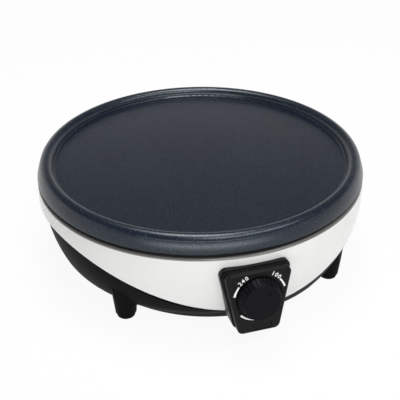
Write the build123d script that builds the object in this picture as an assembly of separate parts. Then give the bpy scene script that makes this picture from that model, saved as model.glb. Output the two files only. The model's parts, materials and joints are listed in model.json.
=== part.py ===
from build123d import *
import os
from math import acos, atan2, cos, degrees, hypot, radians, sin, sqrt, tan

# Electric crepe maker: a round non-stick plate on a two-colour housing with four feet,
# heated from below and set by a rotary thermostat on the front.
# Millimetres, +Z up, the control faces -Y. While the pieces are modelled, the plate's
# axis is the Z axis and the table is z = 0; place_in_frame() moves them at the end.

# ---------------------------------------------------------------- driving dimensions
# Cooking plate
plate_radius = 165.0        # lower edge of the rim, the widest point of the plate
plate_edge_z = 94.4         # height of that edge
rim_tube_radius = 6.9       # rounding of the rim's crest
rim_tube_rise = 8.4         # centre of that rounding, above the lower edge
rim_tube_inset = 10.0       # and inside it
plate_wall = 3.2
cooking_rise = 7.2          # cooking surface, above the rim's lower edge
dish_fillet = 1.2           # where the cooking surface turns up into the rim
seat_rib_width = 4.0        # ring under the plate that stands on the heat seal
edge_fillet = 0.7

# Side curve shared by the housing and the base: one arc in section
housing_overhang = 0.9      # widest point of the housing, outside the plate's edge
side_curve = 131.0
housing_wall = 2.5
housing_gap = 4.4           # from the rim's lower edge down to the housing's top
widest_drop = 16.0          # widest point of the side, below the housing's top
shoulder_fillet = 2.0
flange_width = 25.0         # from the plate's edge in to the flange's hole

# Front apron: the housing's lower edge drops in an arc under the control
apron_z = 24.0              # lowest point of the apron
apron_curve = 212.0         # radius of that arc, seen from the front
apron_blend = 50.0          # rounding between the arc and the level edge
ring_drop = 3.0             # level lower edge, below the widest point

# Base bowl
base_inset = 4.5            # base side behind the housing side
base_shift = 3.0            # base sits this much further forward
base_wall = 3.0
base_bottom_z = 9.0
base_corner = 28.0
base_top_drop = 10.0        # top of the bowl, below the housing's top
rebate_gap = 0.5            # dark line between the apron's edge and the base
rebate_start = 6.0          # rebate and housing side are drawn from this far under the apron
vent_circles = (38.0, 66.0)
vent_counts = (12, 20)
vent_length = 16.0
vent_width = 4.0

# Feet
foot_inset = 19.1           # from the housing's widest point in to the feet
foot_angles = (-135.0, -45.0, 45.0, 135.0)
foot_names = ("front_left", "front_right", "rear_right", "rear_left")
foot_bottom_radius = 10.0
foot_top_radius = 14.6
foot_top_drop = 33.0        # top of the posts, below the housing's top
foot_hidden_length = 19.0   # upper length of the posts, which stays inside the housing
housing_boss_radius = 6.0
pad_height = 4.6
pad_step = 0.8              # the rubber pad stands in from the post
pad_taper = 0.8             # and narrows to its sole
pad_chamfer = 0.8
pad_plug_height = 6.0

# Control panel, drawn on its own tilted plane: x sideways, y up the face, z outward
panel_inset = 0.4           # the plane's origin, inside the housing's widest point
panel_drop = 30.0           # and below the housing's top
panel_tilt = 6.0            # the top leans back
frame_top_half = 33.4
frame_bottom_half = 20.6
frame_top = 21.4
frame_bottom = -41.0
frame_corner = 7.0
frame_wall = 3.2
frame_step_height = 5.0     # first step of the frame, above the plane
frame_step_chamfer = 0.8
frame_face_height = 8.0     # front of the frame, above the plane
step_inset = 1.6
groove_height = 0.7
groove_inset = 3.4
skirt_depth = 45.0          # skirt and spigot are drawn to this far behind the plane
opening_depth = 60.0        # the shells are cut open to this far behind the plane
opening_height = 30.0       # and in front of it
spigot_wall = 2.0
spigot_reach = 3.0          # the spigot stands this far inside the base's wall
hook_reach = 1.4
hook_drop = 10.0            # lower end of the snap hooks, below the plane's origin
hook_rise = 4.0             # and their upper end above it
face_side_inset = 2.8       # panel face inside the frame: at its top corners
face_low_inset = 1.8        # at its bottom corners
face_top_inset = 1.8        # and at its top edge
face_overhang = 0.6         # the face reaches this far below the frame
face_corner = 5.6
face_thickness = 5.1
face_chamfer = 1.0
face_screw_inset = 7.6      # upper screws, in from the face's top corners
low_screw_inset = 5.8       # lower screw, in from the bottom corner
low_screw_rise = 8.6        # and up from the bottom edge
face_screw_cover = 1.5      # plastic left over the ends of the screw holes

# Knob
knob_y = -6.5               # place on the panel's plane
knob_height = 8.5           # front of the knob, above the panel's face
knob_face_radius = 16.6
knob_flare = 3.6            # skirt outside the face
knob_neck_flare = 0.9       # top of the grip outside the face
knob_bevel = 1.2            # height of the bevel round the face
knob_skirt_rim = 1.6        # upright edge of the skirt
knob_recess_gap = 1.2       # recess outside the skirt
knob_recess_depth = 1.2
knob_wall = 1.9
knob_face_wall = 2.3
knob_rib_count = 32
knob_rib_radius = 0.75
knob_rib_overrun = 0.2
knob_boss_radius = 5.6
pointer_circle = 10.0
pointer_radius = 1.5
pointer_lift = 0.5          # centre of the dimple's ball, above the face
pointer_angle = 51.0

# Spindle and thermostat, behind the knob on the panel's plane
spindle_radius = 3.0
spindle_flat = 2.3          # from the spindle's centre to its flat
spindle_cover = 2.1         # knob face in front of the spindle's end
spindle_bore_room = 0.5
spindle_hole_gap = 1.0      # wide hole in the panel face
retainer_width = 2.0
retainer_thickness = 0.8
retainer_gap = 0.02
bracket_depth = 15.5        # front of the bracket, behind the plane
bracket_sheet = 1.5
bracket_half_width = 13.0
bracket_low = -18.0
bracket_foot_front = 9.0    # foot of the bracket, in front of its screws
bracket_foot_margin = 2.0   # and short of the mount's rear end
bush_radius = 4.5
bush_nose = 6.5             # bush in front of the bracket
bush_tail = 3.0             # and behind it
bush_clearance = 1.5        # round the bush, through the frame
bush_end_wall = 1.0
bush_head_radius = 7.0
bush_head_thickness = 2.0
nut_across = 11.0
nut_thickness = 2.5
pin_radius = 1.2
pin_head_radius = 2.2
pin_head_thickness = 1.0
pin_nose = 0.1              # pin's tip, out of the bush's end
pin_chamber = 3.4           # from the bush's end to the spindle's end
stack_y = 14.0
stack_radius = 5.5
stack_layers = (            # name and thickness, counted back from the bracket
    ("washer", 3.9),
    ("moving_leaf", 0.4),
    ("washer", 2.6),
    ("fixed_leaf", 0.4),
    ("washer", 2.6),
    ("bimetal", 0.9),
    ("washer", 1.2),
)
leaf_width = 7.0
leaf_low = -12.0
leaf_high = 20.0
tab_middle = 9.0
tab_width = 6.0
contact_y = -10.0
contact_radius = 2.0
contact_height = 0.7
rivet_head_height = 1.0
mount_half_width = 15.0     # mount under the plate that carries the bracket
mount_gap = 19.5            # from the panel's plane back to the mount
mount_length = 17.0
mount_depth = 6.9
mount_screw_x = 8.0
mount_screw_inset = 8.0     # behind the mount's front
mount_screw_cover = 0.5     # metal left over the ends of its screw holes
flange_notch_margin = 1.0   # notch in the housing's flange, outside the seal's hole

# Under the plate
element_inset = 65.0        # from the plate's edge in to the element
element_radius = 3.3
element_sink = 0.6          # element's middle, under the rib that holds it
element_open_angle = 34.0   # gap between the element's two ends
element_gap_half = 27.0     # the rib stops this far either side of the middle
element_rib_half = 7.5
element_rib_depth = 3.6
terminal_pin_radius = 1.2
pin_length = 12.0
pin_root = 2.0              # pin inside the element's end
bead_length = 4.0
bead_inset = 0.3
clip_width = 6.0
clip_wall = 1.0
clip_angles = (45.0, 135.0, 225.0, 315.0)
boss_offset = 18.0          # from the element out to the plate's screws
boss_angles = (0.0, 90.0, 180.0, 270.0)
plate_boss_radius = 6.0
plate_screw_cover = 1.0     # metal left over the ends of the screw holes
reflector_drop = 10.4       # under the plate
reflector_sheet = 0.8
reflector_margin = 13.0     # outside the screws
reflector_dish = 7.0
spacer_radius = 5.0
base_boss_radius = 7.0
base_boss_drop = 38.0       # top of the base's bosses, under the reflector

# Screws
screw_radius = 2.0
screw_head_radius = 3.8
screw_head_height = 2.6
screw_head_z = 20.0         # seat of the heads, inside the counterbores
screw_slot_half = 0.4
screw_end_room = 2.0        # from a screw's tip to the end of its hole
housing_screw_short = 4.0   # tip of the housing's screws, under the flange
counterbore_radius = 4.6
washer_thickness = 1.0
washer_margin = 0.4         # washer outside the screw's head
small_screw_radius = 1.5
small_head_radius = 2.8
small_head_height = 2.0

# Heat seal between the plate and the housing
seal_squeeze = 1.4          # top of the seal, under the rim's lower edge
seal_inset = 2.8            # outside of the seal, inside the plate's edge
seal_step = 1.3             # inside of the seal, outside the seat rib's inner face

# Cord inlet at the back
gland_rise = 25.0           # middle of the cord, above the base's bottom
gland_bore_radius = 3.8
gland_neck_radius = 6.6
gland_flange_radius = 9.5
gland_flange_thickness = 3.0
gland_flange_fillet = 1.0
gland_inner_length = 9.0
gland_pad_radius = 12.0
gland_pad_height = 4.0      # flat pad on the bowl's side, under the gland's flange
gland_pad_depth = 5.0       # and inside it

# Cord clamp and terminal block
clamp_gap = 12.5            # from the rear boss back to the cord clamp
clamp_half = 10.0           # from its middle to each screw
clamp_post_radius = 4.0
clamp_bar = (28.0, 9.0, 3.5)
clamp_arch_wall = 2.2
clamp_hole_floor = 5.0      # solid foot of the posts, under the screw holes
clamp_screw_short = 8.0     # tip of the clamp's screws, above the base's bottom
saddle_half = 3.0
terminal_gap = 26.0         # from the rear boss forward to the terminal block
terminal_size = (34.0, 12.0, 11.0)
terminal_pitch = 10.0
terminal_plinth = 2.0
terminal_fillet = 1.0
terminal_screw_sink = 0.5

# Indicator lamp and its window in the panel face
lamp_x = 3.3
lamp_rise = 5.8             # above the face's bottom edge
lamp_window_length = 16.4
lamp_window_width = 6.6
lamp_lens_thickness = 2.4
lamp_lens_sink = 0.3
lamp_glass_radius = 2.5
lamp_glass_length = 12.0
lamp_glass_fillet = 1.2
lamp_glass_height = 5.6     # above the panel's plane

# Inner wiring. Each bend of a lead is given as three shares: of the way between two
# points, of the lead's side step, and of the rise between the same two points.
lead_radius = 1.4
lead_hole_radius = 3.0
lead_straight = 16.0        # straight run out of the terminal block
lead_tail = 6.0             # straight run into a pin, a tag or the fuse
lead_bend_share = 0.45      # of the shorter run beside a bend
live_side_step = -15.0
live_tail = 12.0
live_bend_shares = (
    (0.174, 0.67, 0.0), (0.416, 1.02, 0.0), (0.657, 0.98, 0.12), (0.841, 0.66, 0.35),
    (0.957, 0.2, 0.6), (0.976, 0.07, 0.8),
)
switched_side_step = 2.3
switched_tail = 9.0
switched_bend_shares = ((0.333, 0.87, 0.235), (0.567, 1.0, 0.7), (0.8, -1.04, 0.966))
fused_side_step = 7.7
fused_tail = 10.0
fused_bend_shares = ((0.323, 0.0, 1.0), (0.613, 0.8, 1.5), (0.871, 1.0, 1.5))
neutral_side_step = 3.8
neutral_bend_shares = ((0.291, 0.9, 0.068), (0.583, 1.0, 0.248), (0.835, 0.66, 0.624))
neutral_hole_x = 19.0
neutral_hole_gap = 10.5     # from the fuse back to the lead's hole in the reflector
neutral_hole_lead_in = 2.5
neutral_hole_drop = 10.0    # where the lead turns up to that hole, under the reflector
neutral_hole_rise = 4.0     # and where it turns to the fuse, above the reflector
neutral_turn = (1.0, 2.0)   # from the hole's side to that second turn, and short of the fuse
earth_side_step = -2.4
earth_bend_shares = ((0.519, 1.0, 0.24), (0.889, 0.96, 0.636))
earth_hole_x = -3.0
earth_hole_drop = 8.0       # where the lead turns through its hole, under the reflector
earth_y = 34.0
earth_depth = 8.0           # end of the earth boss, under the plate
earth_boss_radius = 5.0
earth_tag_thickness = 0.8
earth_tag_radius = 4.4
earth_barrel = 5.0
earth_barrel_radius = 2.0
earth_barrel_length = 4.0
earth_neck_half = 1.5
fuse_radius = 2.2
fuse_length = 14.0
fuse_y = -40.0
fuse_clip_wall = 0.6
fuse_clip_width = 6.0
fuse_clip_foot = 6.0        # reach of the clip's feet, beside the fuse

# Fits
seat_gap = 0.25             # between faces that seat on each other in one body
fit_gap = 0.3               # between a piece and the hole it passes through
running_gap = 0.05          # radial, between turning pieces
screw_gap = 0.05            # radial, a screw in its own thread
overcut = 1.0               # cutting forms reach this far past what they cut
weld = 0.5                  # added forms run this far into what carries them

# ------------------------------------------------------------------- derived values
rim_tube_z = plate_edge_z + rim_tube_rise
rim_centre_radius = plate_radius - rim_tube_inset
cooking_z = plate_edge_z + cooking_rise
plate_underside_z = cooking_z - plate_wall
rib_outer = rim_centre_radius - rim_tube_radius + plate_wall
rib_inner = rib_outer - seat_rib_width

widest_radius = plate_radius + housing_overhang
side_centre_radius = widest_radius - side_curve
housing_top_z = plate_edge_z - housing_gap
widest_z = housing_top_z - widest_drop
ring_z = widest_z - ring_drop
flange_z = housing_top_z - housing_wall
flange_inner_radius = plate_radius - flange_width
side_low_z = apron_z - rebate_start
base_top_z = housing_top_z - base_top_drop
floor_z = base_bottom_z + base_wall
beyond = 1.5 * plate_radius

foot_circle = widest_radius - foot_inset
foot_top_z = housing_top_z - foot_top_drop
foot_places = [Rotation(0, 0, a) * Pos(foot_circle, 0, 0) for a in foot_angles]
pad_radius = foot_bottom_radius - pad_step

seal_top_z = plate_edge_z - seal_squeeze
seal_inner_radius = rib_inner + seal_step
seal_outer_radius = plate_radius - seal_inset

element_circle = plate_radius - element_inset
element_z = plate_underside_z - element_rib_depth - element_sink
boss_circle = element_circle + boss_offset
boss_places = [Rotation(0, 0, a) * Pos(boss_circle, 0, 0) for a in boss_angles]
reflector_z = plate_underside_z - reflector_drop
reflector_radius = boss_circle + reflector_margin
base_boss_top_z = reflector_z - base_boss_drop

panel_y = widest_radius - panel_inset
panel_z = housing_top_z - panel_drop
panel_plane = Plane(
    origin=(0, -panel_y, panel_z),
    x_dir=(1, 0, 0),
    z_dir=(0, -cos(radians(panel_tilt)), sin(radians(panel_tilt))),
)
panel = panel_plane.location
face_top_half = frame_top_half - face_side_inset
face_bottom_half = frame_bottom_half - face_low_inset
face_top = frame_top - face_top_inset
face_bottom = frame_bottom - face_overhang
face_rear = frame_face_height + groove_height
face_height = face_rear + face_thickness
lamp_y = face_bottom + lamp_rise

knob_floor = face_height - knob_recess_depth
knob_front = face_height + knob_height
knob_skirt_radius = knob_face_radius + knob_flare
knob_recess_radius = knob_skirt_radius + knob_recess_gap
spindle_front = knob_front - spindle_cover
bracket_front = -bracket_depth
bracket_rear = bracket_front - bracket_sheet
bush_front = bracket_front + bush_nose
bush_rear = bracket_rear - bush_tail
spindle_rear = bush_rear + pin_chamber
mount_front_y = -panel_y + mount_gap
mount_rear_y = mount_front_y + mount_length
mount_face_z = plate_underside_z - mount_depth

gland_z = base_bottom_z + gland_rise
clamp_y = boss_circle + clamp_gap
clamp_top_z = gland_z
terminal_y = boss_circle - terminal_gap
terminal_z = floor_z + terminal_plinth
terminal_ways = (-terminal_pitch, 0.0, terminal_pitch)
lead_z = terminal_z + terminal_size[2] / 2
earth_z = plate_underside_z - earth_depth
earth_end_y = earth_y + earth_tag_radius + earth_barrel
earth_hole_y = earth_end_y + 2 * earth_barrel_radius + lead_radius
fuse_z = plate_underside_z - fuse_radius


# ------------------------------------------------------------------- shared shapes
def turned(face):
    """Solid of revolution about Z from a face drawn as (radius, height)."""
    return revolve(Plane.XZ * face, Axis.Z)


def filled(*edges):
    return make_face(edges)


def polygon(*points):
    return make_face(Polyline(*points, close=True))


def tube(outer, inner, low, high):
    """Straight tube or, with no inner radius, a rod, standing on z = low."""
    ring = Cylinder(outer, high - low, align=(Align.CENTER, Align.CENTER, Align.MIN))
    if inner:
        ring -= Cylinder(inner, high - low, align=(Align.CENTER, Align.CENTER, Align.MIN))
    return Pos(0, 0, low) * ring


def block(x_low, x_high, y_low, y_high, z_low, z_high):
    box = Box(x_high - x_low, y_high - y_low, z_high - z_low, align=(Align.MIN,) * 3)
    return Pos(x_low, y_low, z_low) * box


def side_radius(z, inset=0.0):
    """Radius of the shared side curve at a height, moved inward by inset."""
    return side_centre_radius + sqrt((side_curve - inset) ** 2 - (z - widest_z) ** 2)


def side_arc(inset, low, high):
    middle = (low + high) / 2
    points = [(side_radius(z, inset), z) for z in (low, middle, high)]
    return ThreePointArc(*points)


def bowl(inset, bottom, top, corner):
    """Filled bowl under the side curve, set forward, with a rounded bottom corner."""
    face = filled(
        Line((0, bottom), (side_radius(bottom, inset), bottom)),
        side_arc(inset, bottom, top),
        Line((side_radius(top, inset), top), (0, top)),
        Line((0, top), (0, bottom)),
    )
    heel = face.vertices().sort_by(Axis.X)[-2:].sort_by(Axis.Y)[0]
    return Pos(0, -base_shift, 0) * turned(fillet(heel, corner))


def apron_outline(low, drop=0.0):
    """Front view of everything below the apron's lower edge, down to a height."""
    arc_z = apron_z - drop
    level_z = ring_z - drop
    half = sqrt(apron_curve**2 - (apron_curve - (level_z - arc_z)) ** 2)
    face = filled(
        Line((-beyond, low), (-beyond, level_z)),
        Line((-beyond, level_z), (-half, level_z)),
        ThreePointArc((-half, level_z), (0, arc_z), (half, level_z)),
        Line((half, level_z), (beyond, level_z)),
        Line((beyond, level_z), (beyond, low)),
        Line((beyond, low), (-beyond, low)),
    )
    shoulders = [v for v in face.vertices() if v.Y > low and abs(v.X) < beyond - overcut]
    return fillet(shoulders, apron_blend)


def trapezoid(top_half, bottom_half, top, bottom, corner, inset=0.0):
    """Rounded outline on the panel's plane, wider at the top."""
    face = polygon(
        (-top_half, top), (top_half, top), (bottom_half, bottom), (-bottom_half, bottom)
    )
    face = fillet(face.vertices(), corner)
    return offset(face, -inset) if inset else face


def frame_outline(inset=0.0):
    return trapezoid(
        frame_top_half, frame_bottom_half, frame_top, frame_bottom, frame_corner, inset
    )


def prism(face, low, high):
    """Face on the panel's plane pulled outward between two heights."""
    return Pos(0, 0, low) * extrude(face, high - low)


def group(shapes):
    """Like pieces kept together as separate solids of one node."""
    return Compound([solid for shape in shapes for solid in shape.solids()])


def at_knob(shape):
    return Pos(0, knob_y, 0) * shape


def d_section(radius, flat):
    """Round section with one flat, as on a control spindle."""
    return Circle(radius) - Pos(0, flat + radius) * Rectangle(4 * radius, 2 * radius)


# -------------------------------------------------------------------------- plate
def plate_section():
    """Half section of the plate: dish, rounded rim and the rib that seats it."""
    edge = (plate_radius, plate_edge_z)
    centre = (rim_centre_radius, rim_tube_z)
    reach = hypot(edge[0] - centre[0], edge[1] - centre[1])
    slope = atan2(edge[1] - centre[1], edge[0] - centre[0])
    outward = slope + acos(rim_tube_radius / reach)
    inward = radians(180)
    crest = (inward + outward) / 2

    def on_rim(radius, angle):
        return (centre[0] + radius * cos(angle), centre[1] + radius * sin(angle))

    outer = rim_tube_radius
    inner = rim_tube_radius - plate_wall
    lip = (edge[0] - plate_wall * cos(outward), edge[1] - plate_wall * sin(outward))
    face = filled(
        Line((0, cooking_z), (centre[0] - outer, cooking_z)),
        Line((centre[0] - outer, cooking_z), on_rim(outer, inward)),
        ThreePointArc(on_rim(outer, inward), on_rim(outer, crest), on_rim(outer, outward)),
        Line(on_rim(outer, outward), edge),
        Line(edge, lip),
        Line(lip, on_rim(inner, outward)),
        ThreePointArc(on_rim(inner, outward), on_rim(inner, crest), on_rim(inner, inward)),
        Line(on_rim(inner, inward), (rib_outer, seal_top_z)),
        Line((rib_outer, seal_top_z), (rib_inner, seal_top_z)),
        Line((rib_inner, seal_top_z), (rib_inner, plate_underside_z)),
        Line((rib_inner, plate_underside_z), (0, plate_underside_z)),
        Line((0, plate_underside_z), (0, cooking_z)),
    )
    dish = [v for v in face.vertices() if abs(v.Y - cooking_z) < seat_gap and v.X > overcut]
    face = fillet(dish, dish_fillet)
    rim = [v for v in face.vertices() if v.Y < plate_edge_z + seat_gap and v.X > rib_outer + overcut]
    return fillet(rim, edge_fillet)


def make_cooking_plate():
    """Cast plate with the element's rib and the bosses that carry what is under it."""
    plate = turned(plate_section())
    rib_low_z = plate_underside_z - element_rib_depth
    rib = tube(
        element_circle + element_rib_half, element_circle - element_rib_half,
        rib_low_z, plate_underside_z,
    )
    groove = Pos(0, 0, element_z) * Torus(element_circle, element_radius + seat_gap)
    gap = block(
        -element_gap_half, element_gap_half, -boss_circle, 0,
        rib_low_z - overcut, plate_underside_z,
    )
    plate += rib - groove - gap.intersect(rib)
    plate += block(
        -mount_half_width, mount_half_width, mount_front_y, mount_rear_y,
        mount_face_z, plate_underside_z,
    )
    plate += earth_place() * tube(earth_boss_radius, 0, earth_z, plate_underside_z)
    for place in boss_places:
        plate += place * tube(plate_boss_radius, 0, reflector_z, plate_underside_z)
    hole_top_z = plate_underside_z - plate_screw_cover
    hole = screw_radius + screw_gap
    for place in boss_places:
        plate -= place * tube(hole, 0, reflector_z - overcut, hole_top_z)
    plate -= earth_place() * tube(hole, 0, earth_z - overcut, hole_top_z)
    for place in mount_screw_places():
        plate -= place * tube(
            small_screw_radius + screw_gap, 0, mount_face_z - overcut,
            plate_underside_z - mount_screw_cover,
        )
    return plate


def mount_screw_places():
    y = mount_front_y + mount_screw_inset
    return [Pos(x, y, 0) for x in (-mount_screw_x, mount_screw_x)]


def earth_place():
    return Pos(0, earth_y, 0)


def element_ends():
    """Angles of the element's two ends, either side of the front."""
    half = element_open_angle / 2
    return 270.0 + half, 270.0 - half


def on_element(angle):
    return Rotation(0, 0, angle) * Pos(element_circle, 0, element_z) * Rotation(90, 0, 0)


def pin_point(side, beyond):
    """Point on the axis of the right (1) or left (-1) terminal pin, past its tip."""
    end = element_ends()[0 if side > 0 else 1]
    along = -side * (pin_length + beyond)
    return tuple((Rotation(0, 0, end) * Pos(element_circle, along, element_z)).position)


def make_heating_element():
    """Tubular ring, open at the front, with a terminal pin out of each end."""
    start, end = element_ends()
    path = CenterArc((0, 0, element_z), element_circle, start, 360.0 - element_open_angle)
    element = sweep(Plane(path @ 0, z_dir=path % 0) * Circle(element_radius), path=path)
    element += on_element(start) * tube(terminal_pin_radius, 0, -pin_root, pin_length)
    element += on_element(end) * tube(terminal_pin_radius, 0, -pin_length, pin_root)
    return element


def make_element_beads():
    """Ceramic beads that close the element's ends round the pins."""
    start, end = element_ends()
    bead = tube(element_radius - bead_inset, terminal_pin_radius + screw_gap, 0, bead_length)
    return group([on_element(start) * bead, on_element(end) * Pos(0, 0, -bead_length) * bead])


def make_element_clips():
    """Steel clips that hold the element up in its groove."""
    inner = element_radius + seat_gap
    outer = inner + clip_wall
    top = plate_underside_z - element_rib_depth
    bottom = element_z - element_radius
    clip = block(
        element_circle - outer, element_circle + outer, -clip_width / 2, clip_width / 2,
        bottom - clip_wall, top,
    )
    clip -= block(
        element_circle - inner, element_circle + inner, -clip_width, clip_width, bottom, top
    )
    return group([Rotation(0, 0, a) * clip for a in clip_angles])


def make_heat_seal():
    """Ring of heat-proof rubber that closes the gap under the rim."""
    return tube(seal_outer_radius, seal_inner_radius, housing_top_z, seal_top_z)


def make_reflector():
    """Pressed sheet under the element, dished between its centre and its rim."""
    low = reflector_z - reflector_sheet
    outer_flat = element_circle - 3 * element_rib_half
    inner_flat = outer_flat - reflector_dish
    bend = reflector_sheet / 2
    sheet = turned(
        polygon(
            (0, low - reflector_dish), (inner_flat, low - reflector_dish),
            (outer_flat, low), (reflector_radius, low),
            (reflector_radius, reflector_z), (outer_flat - bend, reflector_z),
            (inner_flat - bend, reflector_z - reflector_dish), (0, reflector_z - reflector_dish),
        )
    )
    through = (low - reflector_dish - overcut, reflector_z + overcut)
    for place in boss_places:
        sheet -= place * tube(screw_radius + fit_gap, 0, *through)
    x, y, _ = switched_route()[1]
    sheet -= Pos(x, y) * tube(1.5 * lead_hole_radius, 0, *through)
    for place in (neutral_hole(), earth_hole()):
        sheet -= place * tube(2 * lead_hole_radius, 0, *through)
    return sheet


# ------------------------------------------------------------------------ housing
def housing_solid(inset):
    """Filled outer form of the housing above its lower edge."""
    top = side_radius(housing_top_z, inset)
    low = side_radius(side_low_z, inset)
    return turned(
        filled(
            Line((0, side_low_z), (low, side_low_z)),
            side_arc(inset, side_low_z, housing_top_z),
            Line((top, housing_top_z), (0, housing_top_z)),
            Line((0, housing_top_z), (0, side_low_z)),
        )
    )


def below_apron(drop=0.0):
    """Everything under the housing's lower edge, lowered by drop."""
    front = extrude(Plane.XZ * apron_outline(-overcut, drop), beyond)
    back = block(-beyond, beyond, 0, beyond, -overcut, ring_z - drop)
    return front + back


def panel_opening():
    """Hole through both shells for the control panel's spigot."""
    outline = frame_outline(frame_wall - fit_gap)
    return panel * prism(outline, -opening_depth, opening_height)


def make_housing_shell():
    """Upper shell: curved side with the dropped apron and a flange under the plate."""
    top = side_radius(housing_top_z)
    low = side_radius(side_low_z)
    flange_root = side_radius(flange_z, housing_wall)
    face = filled(
        side_arc(0, side_low_z, housing_top_z),
        Line((top, housing_top_z), (flange_inner_radius, housing_top_z)),
        Line((flange_inner_radius, housing_top_z), (flange_inner_radius, flange_z)),
        Line((flange_inner_radius, flange_z), (flange_root, flange_z)),
        side_arc(housing_wall, side_low_z, flange_z),
        Line((side_radius(side_low_z, housing_wall), side_low_z), (low, side_low_z)),
    )
    shoulder = face.vertices().sort_by(Axis.Y)[-2:].sort_by(Axis.X)[-1]
    shell = turned(fillet(shoulder, shoulder_fillet)) - below_apron()
    for place in foot_places:
        shell += place * tube(housing_boss_radius, 0, foot_top_z, flange_z + weld)
        shell -= place * tube(
            screw_radius + screw_gap, 0, foot_top_z - overcut, flange_z - plate_screw_cover
        )
    notch = block(
        -mount_half_width, mount_half_width, -seal_inner_radius - flange_notch_margin, 0,
        flange_z - overcut, housing_top_z + overcut,
    )
    return shell - notch - panel_opening()


# --------------------------------------------------------------------------- base
def inside_housing(low, high):
    """Space that the base may fill behind the housing's wall, open below."""
    inset = housing_wall + fit_gap
    return turned(
        filled(
            Line((0, 0), (side_radius(low, inset), 0)),
            Line((side_radius(low, inset), 0), (side_radius(low, inset), low)),
            side_arc(inset, low, high),
            Line((side_radius(high, inset), high), (0, high)),
            Line((0, high), (0, 0)),
        )
    )


def foot_posts():
    """Four tapered posts that stand proud of the bowl but stay inside the housing."""
    cone = Cone(
        foot_bottom_radius, foot_top_radius, foot_top_z - pad_height,
        align=(Align.CENTER, Align.CENTER, Align.MIN),
    )
    limit = inside_housing(foot_top_z - foot_hidden_length, foot_top_z)
    return [(place * Pos(0, 0, pad_height) * cone) & limit for place in foot_places]


def rebate():
    """Step in the bowl's side that the housing's wall and apron lie in."""
    low, high = side_low_z, base_top_z + overcut
    inset = housing_wall + fit_gap
    band = turned(
        filled(
            side_arc(inset, low, high),
            Line((side_radius(high, inset), high), (beyond, high)),
            Line((beyond, high), (beyond, low)),
            Line((beyond, low), (side_radius(low, inset), low)),
        )
    )
    return band - below_apron(rebate_gap)


def make_base_shell():
    """Lower shell: a bowl set a little forward, feet, bosses, vents and the cord hole."""
    shell = bowl(base_inset, base_bottom_z, base_top_z, base_corner)
    shell -= bowl(base_inset + base_wall, floor_z, base_top_z + overcut, base_corner - base_wall)
    shell -= rebate()
    inside = bowl(base_inset + weld, base_bottom_z + weld, base_top_z, base_corner - weld)
    for post in foot_posts():
        shell += post
    for boss in boss_places:
        shell += (boss * tube(base_boss_radius, 0, base_bottom_z, base_boss_top_z)) & inside
    shell += gland_axis() * tube(gland_pad_radius, 0, -gland_pad_depth, gland_pad_height)
    for places, top in ((foot_places, foot_top_z), (boss_places, base_boss_top_z)):
        for place in places:
            shell -= place * tube(screw_radius + fit_gap, 0, 0, top + overcut)
            shell -= place * tube(counterbore_radius, 0, 0, screw_head_z)
    shell -= vent_slots()
    shell -= gland_axis() * tube(
        gland_neck_radius + seat_gap, 0, -2 * gland_inner_length, 2 * gland_pad_height
    )
    shell += floor_posts() & inside
    return shell - panel_opening()


def vent_slots():
    """Two rings of radial slots in the floor."""
    slots = []
    for circle, count in zip(vent_circles, vent_counts):
        slot = extrude(SlotOverall(vent_length, vent_width), 4 * base_wall)
        for k in range(count):
            turn = Rotation(0, 0, 360.0 * (k + 0.5) / count)
            slots.append(turn * Pos(circle, 0, base_bottom_z - base_wall) * slot)
    return slots


def make_foot_pad(place):
    """Rubber cap with a plug that fills the foot's counterbore."""
    sole = Cone(
        pad_radius - pad_taper, pad_radius, pad_height,
        align=(Align.CENTER, Align.CENTER, Align.MIN),
    )
    sole = chamfer(sole.edges().sort_by(Axis.Z)[0], pad_chamfer)
    plug = tube(counterbore_radius - seat_gap, 0, pad_height, pad_height + pad_plug_height)
    return place * (sole + plug)


# ---------------------------------------------------------------------- fasteners
def pan_screw(head_z, tip_z, radius, head_radius, head_height):
    """Slotted screw pointing up, with its head under head_z."""
    shank = tube(radius, 0, head_z, tip_z)
    head = tube(head_radius, 0, head_z - head_height, head_z)
    slot = block(
        -head_radius, head_radius, -screw_slot_half, screw_slot_half,
        head_z - head_height, head_z - head_height / 2,
    )
    return shank + head - slot


def large_screw(head_z, tip_z):
    return pan_screw(head_z, tip_z, screw_radius, screw_head_radius, screw_head_height)


def small_screw(head_z, tip_z):
    return pan_screw(head_z, tip_z, small_screw_radius, small_head_radius, small_head_height)


def make_housing_screws():
    screw = large_screw(screw_head_z, flange_z - housing_screw_short)
    return group([place * screw for place in foot_places])


def make_plate_screws():
    screw = large_screw(screw_head_z - washer_thickness, plate_underside_z - 1.5 * screw_end_room)
    return group([place * screw for place in boss_places])


def make_plate_washers():
    washer = tube(
        screw_head_radius + washer_margin, screw_radius + screw_gap,
        screw_head_z - washer_thickness, screw_head_z,
    )
    return group([place * washer for place in boss_places])


def make_plate_spacers():
    spacer = tube(
        spacer_radius, screw_radius + fit_gap, base_boss_top_z, reflector_z - reflector_sheet
    )
    return group([place * spacer for place in boss_places])


# ------------------------------------------------------------------ control panel
def shells_envelope(gap):
    """Filled outer form of both shells, grown by a gap."""
    upper = housing_solid(-gap) - below_apron(gap)
    lower = bowl(base_inset - gap, base_bottom_z - gap, base_top_z, base_corner + gap)
    return upper + lower


def behind_base_wall(depth):
    """Room inside the base, this far behind its wall, up to the plate."""
    return bowl(
        base_inset + base_wall + depth, floor_z + depth, housing_top_z + base_top_drop,
        base_corner - base_wall - depth,
    )


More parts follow.
